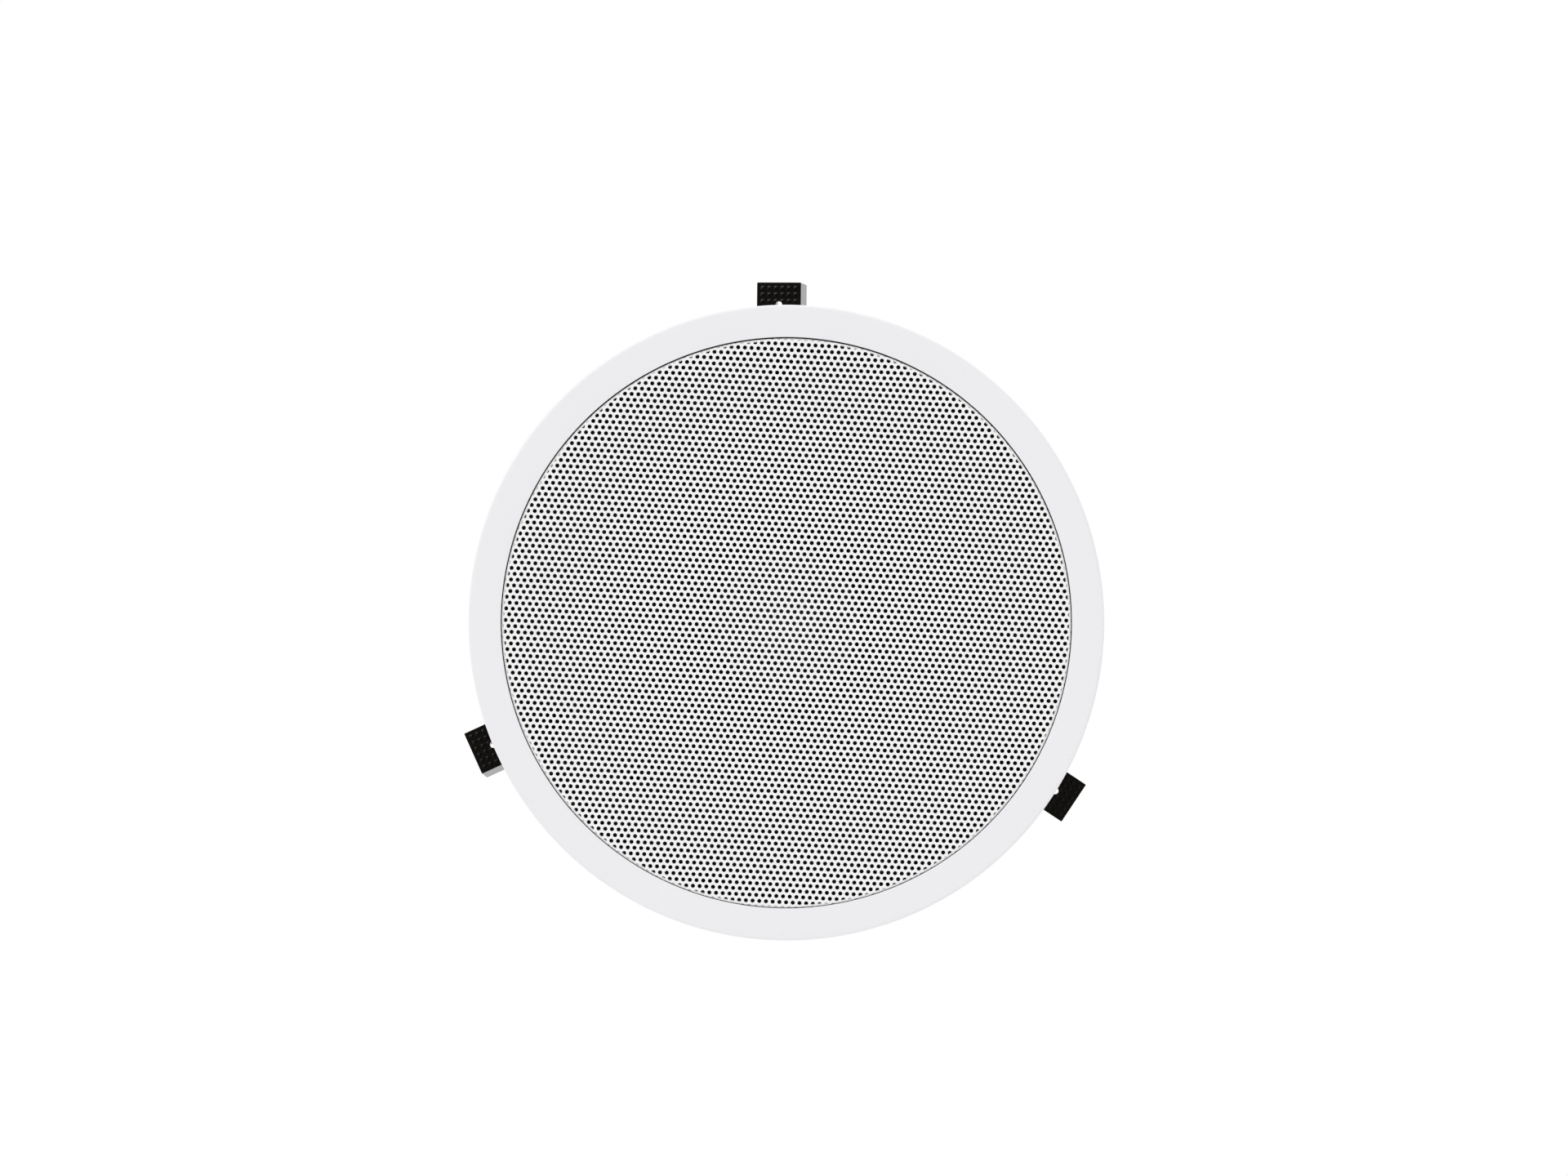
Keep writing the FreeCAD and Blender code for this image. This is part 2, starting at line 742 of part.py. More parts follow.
# Terminal strip with a hollowed back on the basket's cup, and its two solder tags
strip_high = (shelf_top - basket_sheet + cup_floor_back + strip_height) / 2
strip_low = strip_high - strip_height
strip = block(0, cup_radius + strip_thickness, -strip_width / 2, strip_width / 2, strip_low, strip_high)
strip = strip.cut(disc(cup_radius, strip_low - 1, strip_high + 1))
tag_middle = (strip_low + strip_high) / 2
tag_start = cup_radius + strip_thickness - tag_sunk
tag_slots = []
tags = []
for side in (-1, 1):
    tag_across = side * tag_spacing / 2
    tag_slots.append(block(
        tag_start, tag_start + tag_length,
        tag_across - tag_width / 2 - thread_gap, tag_across + tag_width / 2 + thread_gap,
        tag_middle - tag_thickness / 2 - thread_gap, tag_middle + tag_thickness / 2 + thread_gap,
    ))
    tags.append(block(
        tag_start, tag_start + tag_length,
        tag_across - tag_width / 2, tag_across + tag_width / 2,
        tag_middle - tag_thickness / 2, tag_middle + tag_thickness / 2,
    ))
save("terminal_strip", turned(strip.cut(tag_slots), strip_angle))
save("terminal_tags", *[turned(tag, strip_angle) for tag in tags])

# Crossover board and its screws
board_left = -board_width / 2
board = block(board_left, -board_left, board_low, board_high, board_back, board_front)
board_hole = disc(board_screw_diameter / 2 + shank_gap, board_back - 1, board_front + 1)
board = board.cut([moved(board_hole, across, level) for across, level in board_holes])
save("crossover_board", board)
board_screw = turning(
    (0, board_back - board_screw_head_height),
    (board_screw_head / 2, board_back - board_screw_head_height),
    (board_screw_head / 2, board_back),
    (board_screw_diameter / 2, board_back),
    (board_screw_diameter / 2, board_back + board_screw_length),
    (0, board_back + board_screw_length),
)
save("crossover_screws", *[moved(board_screw, across, level) for across, level in board_holes])

# Parts on the board: a coil on a bobbin, a capacitor on its side, a cement resistor and a terminal block
board_middle = (board_low + board_high) / 2
inductor = turning(
    (0, board_back - inductor_height),
    (inductor_diameter / 2, board_back - inductor_height),
    (inductor_diameter / 2, board_back - inductor_height + inductor_cheek),
    (inductor_diameter / 2 - inductor_cheek, board_back - inductor_height + inductor_cheek),
    (inductor_diameter / 2 - inductor_cheek, board_back - inductor_cheek),
    (inductor_diameter / 2, board_back - inductor_cheek),
    (inductor_diameter / 2, board_back),
    (0, board_back),
)
inductor_core = disc(inductor_core_diameter / 2, board_back - inductor_height - 1, board_back + 1)
save("inductor", moved(inductor.cut(inductor_core), board_left + inductor_at, board_middle))
capacitor_radius = capacitor_diameter / 2
capacitor = turning(
    (0, 0),
    (capacitor_radius - capacitor_edge, 0),
    (capacitor_radius, capacitor_edge),
    (capacitor_radius, capacitor_length - capacitor_edge),
    (capacitor_radius - capacitor_edge, capacitor_length),
    (0, capacitor_length),
)
capacitor.rotate(Vector(0, 0, 0), Vector(0, 1, 0), 90)
capacitor_left = board_left + capacitor_at - capacitor_length / 2
save("capacitor", moved(
    capacitor, capacitor_left, board_high - capacitor_radius, board_back - capacitor_radius
))
resistor_left = board_left + capacitor_at - resistor_length / 2
save("resistor", block(
    resistor_left, resistor_left + resistor_length, board_low + 1, board_low + 1 + resistor_width,
    board_back - resistor_height, board_back,
))
block_left = board_left + block_at - block_width / 2
block_low = board_middle - block_depth / 2
terminal_block = block(
    block_left, block_left + block_width, block_low, block_low + block_depth,
    board_back - block_height, board_back,
)
block_bevel = Part.makePolygon([
    Vector(block_left, block_low, board_back - block_height),
    Vector(block_left, block_low + block_chamfer, board_back - block_height),
    Vector(block_left, block_low, board_back - block_height + block_chamfer),
    Vector(block_left, block_low, board_back - block_height),
])
block_cuts = [Part.Face(block_bevel).extrude(Vector(block_width, 0, 0))]
block_screws = []
for side in (-1, 1):
    pole_across = board_left + block_at + side * wire_hole_spacing / 2
    wire_hole = Part.makeCylinder(
        wire_hole_diameter / 2, block_depth / 2,
        Vector(pole_across, block_low, board_back - wire_hole_height), Vector(0, 1, 0),
    )
    screw_well = disc(
        block_screw_diameter / 2 + block_screw_gap,
        board_back - block_height, board_back - block_height + block_screw_height + 1,
    )
    block_screw = disc(
        block_screw_diameter / 2,
        board_back - block_height + 1, board_back - block_height + block_screw_height + 1,
    )
    block_cuts += [wire_hole, moved(screw_well, pole_across, board_middle + block_chamfer / 2)]
    block_screws.append(moved(block_screw, pole_across, board_middle + block_chamfer / 2))
save("terminal_block", terminal_block.cut(block_cuts))
save("terminal_screws", *block_screws)


def arm_outline(inset):
    """The arm seen from the front, from its round end to its squared tip, drawn in by a distance."""
    half = arm_half - inset
    tip = arm_reach - inset
    corner = arm_corner
    turn = corner * (1 - math.sqrt(0.5))
    edges = [
        Part.makeLine(Vector(0, half, 0), Vector(tip - corner, half, 0)),
        Part.Arc(
            Vector(tip - corner, half, 0), Vector(tip - turn, half - turn, 0), Vector(tip, half - corner, 0)
        ).toShape(),
        Part.makeLine(Vector(tip, half - corner, 0), Vector(tip, corner - half, 0)),
        Part.Arc(
            Vector(tip, corner - half, 0), Vector(tip - turn, turn - half, 0), Vector(tip - corner, -half, 0)
        ).toShape(),
        Part.makeLine(Vector(tip - corner, -half, 0), Vector(0, -half, 0)),
        Part.Arc(Vector(0, -half, 0), Vector(-half, 0, 0), Vector(0, half, 0)).toShape(),
    ]
    return Part.Face(Part.Wire(edges))


def square(side, height):
    """A square outline about the tooth's axis."""
    half = side / 2
    return Part.makePolygon([
        Vector(-half, -half, height),
        Vector(half, -half, height),
        Vector(half, half, height),
        Vector(-half, half, height),
        Vector(-half, -half, height),
    ])


# Clamp arm, drawn about its screw: an open-backed moulding with a toothed face, a nut boss and two ribs
peephole_at = arm_reach - peephole_from_tip
nut_front = arm_middle - nut_height / 2
boss_radius = nut_diameter / 2 + nut_pocket_gap + arm_boss_wall
shoulder = nut_front - nut_shoulder_gap
arm_body = arm_outline(0).extrude(Vector(0, 0, -arm_depth))
arm_hollow = moved(arm_outline(arm_wall), out=-arm_plate).extrude(Vector(0, 0, -arm_depth))
arm = arm_body.cut(arm_hollow)
arm_boss = disc(boss_radius, -arm_depth, -arm_plate / 2)
arm_ribs = [
    block(
        boss_radius - arm_boss_wall, arm_reach - arm_wall / 2,
        side * arm_rib_spacing / 2 - arm_rib / 2, side * arm_rib_spacing / 2 + arm_rib / 2,
        -arm_depth, -arm_plate / 2,
    )
    for side in (-1, 1)
]
tooth = Part.makeLoft([square(tooth_base, 0), square(tooth_top, tooth_height)], True)
teeth = []
for row in range(tooth_rows):
    tooth_along = arm_reach - first_tooth_row - row * tooth_pitch
    for column in range(tooth_columns):
        tooth_across = (column - (tooth_columns - 1) / 2) * tooth_pitch
        to_peephole = math.hypot(tooth_along - peephole_at, tooth_across)
        if to_peephole > peephole_diameter / 2 + tooth_base / 3:
            teeth.append(moved(tooth, tooth_along, tooth_across))
arm = arm.fuse([arm_boss] + arm_ribs + teeth)
arm_cuts = [
    disc(screw_radius + plate_hole_gap, -arm_depth, tooth_height),
    disc(nut_diameter / 2 + nut_pocket_gap, -arm_depth, -shoulder),
    moved(disc(peephole_diameter / 2, -arm_depth, tooth_height), peephole_at),
]
arm = arm.cut(arm_cuts).removeSplitter()

# Clamp screw, nut and retainer, drawn about the screw's axis
head_top = baffle_front + clamp_screw_head_height
clamp_screw = turning(
    (0, screw_end),
    (screw_radius, screw_end),
    (screw_radius, baffle_front),
    (clamp_screw_head / 2, baffle_front),
    (clamp_screw_head / 2, baffle_front + clamp_screw_head_height * 0.6),
    (clamp_screw_head / 4, head_top),
    (0, head_top),
)
nut_top = arm_front - nut_front
clamp_nut = ring(screw_radius + turning_gap, nut_diameter / 2, nut_top - nut_height, nut_top)
retainer_top = tower_end - tower_bridge - retainer_gap
retainer = ring(
    screw_radius + thread_gap, retainer_diameter / 2, retainer_top - retainer_thickness, retainer_top
)
for index in range(len(clamp_screw_angles)):
    number = str(index + 1)
    leaning = arm.copy()
    leaning.rotate(Vector(0, 0, -arm_middle), Vector(1, 0, 0), clamp_arm_leans[index])
    swung = turned(leaning, clamp_arm_angles[index] - clamp_screw_angles[index])
    save("clamp_arm_" + number, at_clamp(moved(swung, out=arm_front), index))
    save("clamp_screw_" + number, at_clamp(clamp_screw, index))
    save("clamp_nut_" + number, at_clamp(clamp_nut, index))
    save("screw_retainer_" + number, at_clamp(retainer, index))
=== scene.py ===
# %% [markdown]
# # A flush-mount speaker
#
# The speaker is a round loudspeaker that sits in a hole in a wall or ceiling panel. From the front it is a
# white trim ring round a white perforated steel grille, with the black claws of three clamps behind the ring.
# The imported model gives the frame: where every piece is and how it moves. This lesson dresses that frame.

# %% Load the frame
import json
import math

import bmesh
import bpy
from mathutils import Matrix, Vector


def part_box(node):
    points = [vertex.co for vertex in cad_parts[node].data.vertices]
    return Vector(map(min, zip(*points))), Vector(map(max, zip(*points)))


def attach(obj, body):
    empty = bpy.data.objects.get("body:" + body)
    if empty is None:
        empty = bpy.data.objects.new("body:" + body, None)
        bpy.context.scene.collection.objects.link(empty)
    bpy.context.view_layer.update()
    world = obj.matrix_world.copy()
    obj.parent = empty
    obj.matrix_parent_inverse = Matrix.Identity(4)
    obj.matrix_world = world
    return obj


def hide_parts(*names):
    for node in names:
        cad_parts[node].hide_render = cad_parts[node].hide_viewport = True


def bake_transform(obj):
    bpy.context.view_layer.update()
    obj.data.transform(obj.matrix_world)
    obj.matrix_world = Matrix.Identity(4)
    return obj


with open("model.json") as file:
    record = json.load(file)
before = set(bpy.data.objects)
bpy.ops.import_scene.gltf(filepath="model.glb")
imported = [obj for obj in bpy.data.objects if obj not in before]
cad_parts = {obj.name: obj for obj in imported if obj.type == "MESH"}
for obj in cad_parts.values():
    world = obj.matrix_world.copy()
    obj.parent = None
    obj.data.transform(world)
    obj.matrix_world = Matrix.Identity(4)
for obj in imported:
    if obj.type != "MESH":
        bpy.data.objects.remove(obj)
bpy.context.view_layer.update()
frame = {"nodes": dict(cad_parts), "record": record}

nodes = frame["nodes"]
MM = 0.001


# %% Helper that puts data in the scene
def add_object(name, data):
    """An object that shows some data in the scene."""
    made = bpy.data.objects.new(name, data)
    bpy.context.scene.collection.objects.link(made)
    return made


# %% [markdown]
# ## Camera
#
# The photograph looks square on at the face, from far enough away that the ring is a true circle. A long lens
# two metres off gives that. Its place is a little above and left of the ring's middle, because the picture
# holds the ring slightly low and right, and moving the camera keeps the lens free of any shift.

# %% Camera
LENS = 123.2
CAMERA_PLACE = Vector((-0.87, -2006.5, 12.93))
camera = add_object("camera", bpy.data.cameras.new("camera"))
camera.data.lens = LENS
camera.location = CAMERA_PLACE * MM
camera.rotation_euler = (math.radians(90), 0, 0)
bpy.context.scene.camera = camera
bpy.context.scene.view_settings.view_transform = "Standard"
print("camera stands", round(-camera.location.y, 3), "m in front of the panel")

# %% [markdown]
# ## Two helpers for every node tree
#
# A colour is picked as an sRGB hex value, as a paint chart gives it, and Blender's sockets take linear light,
# so one function turns the first into the second. Another adds a node with its settings and its links, which
# keeps each tree as short to read as a recipe. The four kinds of node that come up most have short names.

# %% Colour and node helpers
MATH = "ShaderNodeMath"
VECTOR_MATH = "ShaderNodeVectorMath"
COMBINE = "ShaderNodeCombineXYZ"
SEPARATE = "ShaderNodeSeparateXYZ"


def linear(hex_code):
    """The linear colour of an sRGB hex value such as #f0f0f0."""
    shares = [int(hex_code[at:at + 2], 16) / 255 for at in (1, 3, 5)]
    return [s / 12.92 if s <= 0.04045 else ((s + 0.055) / 1.055) ** 2.4 for s in shares] + [1.0]


def add_node(tree, kind, settings=None, links=None):
    """Adds a node with its settings and its links, each from a socket or from a node's first output."""
    node = tree.nodes.new(kind)
    for key, value in (settings or {}).items():
        if isinstance(key, str) and hasattr(node, key):
            setattr(node, key, value)
        else:
            node.inputs[key].default_value = value
    for key, source in (links or {}).items():
        tree.links.new(getattr(source, "outputs", [source])[0], node.inputs[key])
    return node


print("a mid grey of #808080 is", round(linear("#808080")[0], 3), "in linear light")

# %% [markdown]
# ## Light, floor and background
#
# The photograph is a studio picture on pure white. The camera sees a white world. The object is lit by a
# soft one that is a little stronger from the upper left, which leaves a fine shade round the ring's lower
# right edge. A gloss mirrors something else: the white backdrop behind the object, a dark studio on the
# camera's side, and one soft box overhead. So glossy rays see such a room, and the black plastic looks black
# from the front, pale along its grazing sides, and bright on the teeth that lean towards the box. The floor
# lies below the picture and turns into the white world towards its rim, so no edge shows. It is hidden from
# glossy rays, because the teeth that lean down mirror nothing bright in the photograph.

# %% World
AMBIENT = 0.901
AMBIENT_LEAN = 0.28
DARK_SIDE = 0.065
BACKDROP_FROM = -0.3
BACKDROP_TO = 0.1
SOFT_BOX = 1.15
SOFT_BOX_CORE = math.radians(12)
SOFT_BOX_EDGE = math.radians(28)
UPPER_LEFT = Vector((-0.6, 0, 0.8))
OVERHEAD = Vector((-0.2, -0.28, 0.94)).normalized()
world = bpy.data.worlds.new("studio")
bpy.context.scene.world = world
world.use_nodes = True
world_tree = world.node_tree
world_tree.nodes.clear()
path = add_node(world_tree, "ShaderNodeLightPath")
direction = add_node(world_tree, "ShaderNodeTexCoord").outputs["Generated"]
upper_left = add_node(world_tree, VECTOR_MATH, {"operation": "DOT_PRODUCT", 1: UPPER_LEFT}, {0: direction})
soft_light = add_node(world_tree, "ShaderNodeMapRange",
                      {"From Min": -1.0, "To Min": AMBIENT - AMBIENT_LEAN, "To Max": AMBIENT + AMBIENT_LEAN},
                      {"Value": upper_left.outputs["Value"]})
towards = add_node(world_tree, SEPARATE, links={0: direction})
backdrop = add_node(world_tree, "ShaderNodeMapRange",
                    {"interpolation_type": "SMOOTHSTEP", "From Min": BACKDROP_FROM, "From Max": BACKDROP_TO,
                     "To Min": DARK_SIDE, "To Max": 1.0},
                    {"Value": towards.outputs["Y"]})
overhead = add_node(world_tree, VECTOR_MATH, {"operation": "DOT_PRODUCT", 1: OVERHEAD}, {0: direction})
soft_box = add_node(world_tree, "ShaderNodeMapRange",
                    {"interpolation_type": "SMOOTHSTEP", "From Min": math.cos(SOFT_BOX_EDGE),
                     "From Max": math.cos(SOFT_BOX_CORE), "To Max": SOFT_BOX},
                    {"Value": overhead.outputs["Value"]})
room = add_node(world_tree, MATH, {"operation": "MAXIMUM"}, {0: backdrop, 1: soft_box})
lit = add_node(world_tree, "ShaderNodeMix", links={0: path.outputs["Is Glossy Ray"], 2: soft_light, 3: room})
seen = add_node(world_tree, MATH, {"operation": "MAXIMUM"},
                {0: path.outputs["Is Camera Ray"], 1: path.outputs["Is Transmission Ray"]})
level = add_node(world_tree, "ShaderNodeMix", {3: 1.0}, {0: seen, 2: lit})
sky = add_node(world_tree, "ShaderNodeBackground", {"Color": linear("#ffffff")}, {"Strength": level})
add_node(world_tree, "ShaderNodeOutputWorld", links={"Surface": sky})


# %% Lamps
def soft_lamp(name, place, size, power):
    """A square area lamp that faces the middle of the speaker."""
    lamp = add_object(name, bpy.data.lights.new(name, "AREA"))
    lamp.data.size = size
    lamp.data.energy = power
    lamp.location = place
    lamp.rotation_euler = Vector(place).to_track_quat("Z", "Y").to_euler()


soft_lamp("key_lamp", (0.5, -1.6, 1.5), size=1.2, power=4)
soft_lamp("top_lamp", (0.0, 0.7, 1.3), size=0.35, power=1)

# %% Floor
FLOOR_RADIUS = 1.1
FLOOR_HEIGHT = -0.36
FADE_FROM = 0.35
FADE_TO = 0.95 * FLOOR_RADIUS
floor_mesh = bpy.data.meshes.new("floor")
floor_form = bmesh.new()
bmesh.ops.create_circle(floor_form, cap_ends=True, segments=96, radius=FLOOR_RADIUS)
bmesh.ops.translate(floor_form, verts=floor_form.verts, vec=(0, 0, FLOOR_HEIGHT))
floor_form.to_mesh(floor_mesh)
floor_form.free()
floor = add_object("floor", floor_mesh)
floor.visible_glossy = False
floor_paper = bpy.data.materials.new("white_paper_sweep")
floor_paper.use_nodes = True
paper_tree = floor_paper.node_tree
paper_tree.nodes.clear()
place = add_node(paper_tree, "ShaderNodeTexCoord").outputs["Object"]
from_middle = add_node(paper_tree, VECTOR_MATH, {"operation": "MULTIPLY", 1: (1, 1, 0)}, {0: place})
distance = add_node(paper_tree, VECTOR_MATH, {"operation": "LENGTH"}, {0: from_middle})
fade = add_node(paper_tree, "ShaderNodeMapRange",
                {"interpolation_type": "SMOOTHSTEP", "From Min": FADE_FROM, "From Max": FADE_TO},
                {"Value": distance.outputs["Value"]})
paper = add_node(paper_tree, "ShaderNodeBsdfDiffuse", {"Color": linear("#f4f4f4")})
glow = add_node(paper_tree, "ShaderNodeEmission", {"Color": linear("#ffffff"), "Strength": 1.0})
paper_path = add_node(paper_tree, "ShaderNodeLightPath")
share = add_node(paper_tree, MATH, {"operation": "MULTIPLY"},
                 {0: fade, 1: paper_path.outputs["Is Camera Ray"]})
blend = add_node(paper_tree, "ShaderNodeMixShader", links={0: share, 1: paper, 2: glow})
add_node(paper_tree, "ShaderNodeOutputMaterial", links={"Surface": blend})
floor.data.materials.append(floor_paper)
print("floor is", FLOOR_RADIUS, "m in radius")

# %% [markdown]
# ## Finishes
#
# Each finish starts from the real material. Moulded plastic has a fine spark-eroded grain, powder coat a
# soft orange peel, zinc a cloudy bloom, paper its fibres. All of them are noise of a real size in
# millimetres that moves the colour, the roughness and the surface by a little, so one function makes them
# all. What differs between them stays in the calls. An eroded or plated grain is a tenth of a millimetre
# wide or less and would not show in the render, so such grains are drawn at about half a millimetre.


# %% Finish helper
def grained(name, dark, light, roughness, grain, cloud_mm, metallic=0.0, ior=1.5, specular=0.5, gloss=None,
            edge_mm=0.25):
    """A finish clouded between two colours, with a raised grain of a width and a rise, and softened edges."""
    material = bpy.data.materials.new(name)
    material.use_nodes = True
    tree = material.node_tree
    shader = tree.nodes["Principled BSDF"]
    for socket, value in (("Base Color", linear(light)), ("Roughness", roughness), ("Metallic", metallic),
                          ("IOR", ior), ("Specular IOR Level", specular)):
        shader.inputs[socket].default_value = value
    place = add_node(tree, "ShaderNodeTexCoord").outputs["Object"]
    grain_mm, rise_mm = grain
    fine = add_node(tree, "ShaderNodeTexNoise", {"Scale": 1 / (grain_mm * MM), "Detail": 3.0},
                    {"Vector": place})
    raised = add_node(tree, "ShaderNodeBump", {"Strength": 1.0, "Distance": rise_mm * MM}, {"Height": fine})
    tree.links.new(raised.outputs[0], shader.inputs["Normal"])
    if edge_mm:
        edge = add_node(tree, "ShaderNodeBevel", {"samples": 4, "Radius": edge_mm * MM})
        tree.links.new(edge.outputs[0], raised.inputs["Normal"])
    cloud = add_node(tree, "ShaderNodeTexNoise", {"Scale": 1 / (cloud_mm * MM), "Detail": 4.0},
                     {"Vector": place})
    colours = add_node(tree, "ShaderNodeMix", {"data_type": "RGBA", 6: linear(dark), 7: linear(light)},
                       {0: cloud})
    tree.links.new(colours.outputs[2], shader.inputs["Base Color"])
    if gloss:
        sheen = add_node(tree, "ShaderNodeMapRange", {"To Min": gloss[0], "To Max": gloss[1]},
                         {"Value": fine})
        tree.links.new(sheen.outputs[0], shader.inputs["Roughness"])
    return material


# %% Finishes of the mouldings, the grille and the foam
finish = {
    # Injection-moulded ABS with a fine eroded texture: matt white, with a soft broad highlight
    "white_abs": grained("white_abs_eroded", "#ecebee", "#efeef1", 0.5, (0.5, 0.012), 30, ior=1.53,
                         gloss=(0.44, 0.56), edge_mm=0),
    # Polyester powder coat on steel: a smooth white skin with a slight orange peel
    "white_powder_coat": grained("white_powder_coat", "#f2f1f1", "#f5f4f4", 0.45, (0.7, 0.008), 20,
                                 gloss=(0.4, 0.5), edge_mm=0),
    # Black ABS with the same eroded texture: charcoal in the light, deep black in the shade
    "black_abs": grained("black_abs_eroded", "#161617", "#1e1e20", 0.5, (0.5, 0.02), 25, ior=1.53,
                         specular=0.4, gloss=(0.42, 0.58)),
    # Glass-filled nylon: black with a slightly warm cast, smooth enough to turn pale along a grazing side
    "black_clamp_plastic": grained("black_nylon_glass_filled", "#0e0a06", "#130f09", 0.2, (0.8, 0.003), 12,
                                   ior=1.53, gloss=(0.14, 0.22), edge_mm=0.12),
    # Closed-cell foam: dull, with open pores about a third of a millimetre across
    "black_foam": grained("black_foam_closed_cell", "#151515", "#242424", 0.9, (0.35, 0.12), 3),
    # Solder mask over glass epoxy: green, smooth, a little mottled by the weave under it
    "green_laminate": grained("glass_epoxy_solder_mask", "#14502f", "#1d6a40", 0.3, (0.6, 0.006), 8),
    # Polyamide of the terminal block: a clear green with a dull moulded skin
    "green_nylon": grained("polyamide_moulded", "#1d6e3a", "#268a49", 0.42, (0.6, 0.01), 8),
    # Paper and phenolic resin: brown board, cloudy
    "brown_phenolic": grained("paper_phenolic", "#4b2d18", "#5f3b20", 0.5, (0.8, 0.01), 5),
    # Heat-shrunk PVC sleeve: dark blue, glossy, with fine ripples from the shrinking
    "capacitor_sleeve": grained("shrunk_sleeve_blue", "#1c2f5c", "#24407a", 0.32, (0.9, 0.008), 6),
    # Cement of the resistor: chalky and pitted
    "white_cement": grained("white_cement", "#d6d3cb", "#e6e4dc", 0.85, (0.5, 0.06), 3),
}

# %% Finishes of the metals
finish.update({
    # Zinc-plated steel: pale blue grey with a cloudy bloom
    "zinc_steel": grained("zinc_plated_steel", "#979ba0", "#b3b7bb", 0.32, (0.4, 0.004), 4, metallic=1.0,
                          gloss=(0.24, 0.42)),
    # Black passivated zinc on screws: near black, with a faint oily gloss
    "black_zinc_steel": grained("black_zinc_plated_steel", "#17181a", "#242629", 0.35, (0.4, 0.004), 3,
                                metallic=1.0, gloss=(0.28, 0.45)),
    # Black electrocoat on pressed steel: even semi-gloss with a faint orange peel
    "black_painted_steel": grained("black_electrocoat_steel", "#121214", "#19191b", 0.35, (0.9, 0.01), 30,
                                   specular=0.4, gloss=(0.28, 0.42), edge_mm=0.4),
    # Sintered ferrite: charcoal ceramic, ground flat, with a dull sheen
    "ferrite": grained("ferrite_sintered", "#2a2b2c", "#3d3e40", 0.6, (0.6, 0.02), 6, gloss=(0.5, 0.72)),
    # Rolled aluminium foil of the coil former: bright and thin
    "former_aluminium": grained("aluminium_foil", "#c2c5c8", "#dcdee0", 0.3, (0.4, 0.003), 5, metallic=1.0),
    # Enamelled copper wire: orange brown, with the gloss of its varnish
    "copper_wire": grained("enamelled_copper", "#8f4a22", "#b5652f", 0.28, (0.4, 0.004), 4, metallic=1.0,
                           edge_mm=0),
    # Nickel on the tweeter's motor: a warm grey
    "tweeter_motor_steel": grained("nickel_plated_steel", "#a9a9a6", "#c3c3bf", 0.3, (0.5, 0.004), 5,
                                   metallic=1.0),
    # Tinned brass of the tags and nuts: soft silver, slightly yellow
    "tinned_brass": grained("tinned_brass", "#b9b7ae", "#d3d1c8", 0.3, (0.4, 0.004), 3, metallic=1.0),
})

# %% Finishes of the cone and its suspensions
finish.update({
    # Pressed paper pulp: black, with fibres a few millimetres long
    "cone_paper": grained("black_paper_pulp", "#121212", "#1d1c1b", 0.85, (0.9, 0.06), 2.5, specular=0.2,
                          edge_mm=0),
    # Moulded butyl rubber: black and even, with a dull sheen
    "surround_rubber": grained("butyl_rubber", "#121212", "#181818", 0.55, (0.6, 0.01), 15, specular=0.3,
                               gloss=(0.48, 0.62), edge_mm=0),
    # Resin-dipped cotton of the spider: amber cloth
    "spider_cloth": grained("resin_dipped_cotton", "#7a5a22", "#a37c36", 0.8, (0.5, 0.08), 3, edge_mm=0),
    # Silk of the tweeter's dome, coated with a tacky varnish: charcoal
    "dome_silk": grained("coated_silk", "#26272a", "#33343a", 0.5, (0.3, 0.02), 4, edge_mm=0),
})
print("finishes:", len(finish))

# %% [markdown]
# ## Finishes on the imported solids
#
# The record already says which slot each solid takes its finish from, so the finishes go on by that list.
# Where a piece below is shaped better than its solid, it takes one of these finishes and hides the solid.

# %% Dress the imported solids
slot_of = {part["node"]: part["material_slot"] for part in frame["record"]["subparts"]}
for name, node in nodes.items():
    node.material_slots[0].material = finish[slot_of[name]]
print("dressed", len(slot_of), "nodes in", len(set(slot_of.values())), "finishes")


# %% Helper that hands a mesh over as a finished piece
def add_piece(name, mesh, body, slot, hidden_node):
    """Makes an object of a mesh, gives it its finish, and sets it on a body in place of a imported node."""
    piece = add_object(name, mesh)
    if not mesh.materials:
        mesh.materials.append(finish[slot])
    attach(piece, body)
    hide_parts(hidden_node)
    mesh.calc_loop_triangles()
    print(name, "has", len(mesh.loop_triangles), "triangles")


# %% [markdown]
# ## Helper for round pieces
#
# Many pieces of a loudspeaker are turned: rings, plates, domes. Each is drawn as half a section, a list of
# corners with a radius and a height in millimetres, and a corner may be rounded. The section is then carried
# round the speaker's axis. The axis lies along Y, and a height is counted out of the panel, towards minus Y.


# %% Turned piece
WELD_DISTANCE = 1e-7
TURNED_CREASE = 40


def round_corners(corners, steps):
    """The section's points, with an arc at each corner that names a rounding as its third number."""
    points = []
    for at, corner in enumerate(corners):
        here = Vector(corner[:2])
        if len(corner) == 2:
            points.append(here)
            continue
        to_last = (Vector(corners[at - 1][:2]) - here).normalized()
        to_next = (Vector(corners[(at + 1) % len(corners)][:2]) - here).normalized()
        half_angle = to_last.angle(to_next) / 2
        middle = here + (to_last + to_next).normalized() * corner[2] / math.sin(half_angle)
        start = here + to_last * corner[2] / math.tan(half_angle) - middle
        turn = start.angle_signed(here + to_next * corner[2] / math.tan(half_angle) - middle)
        points += [middle + Matrix.Rotation(-turn * step / steps, 2) @ start for step in range(steps + 1)]
    return points


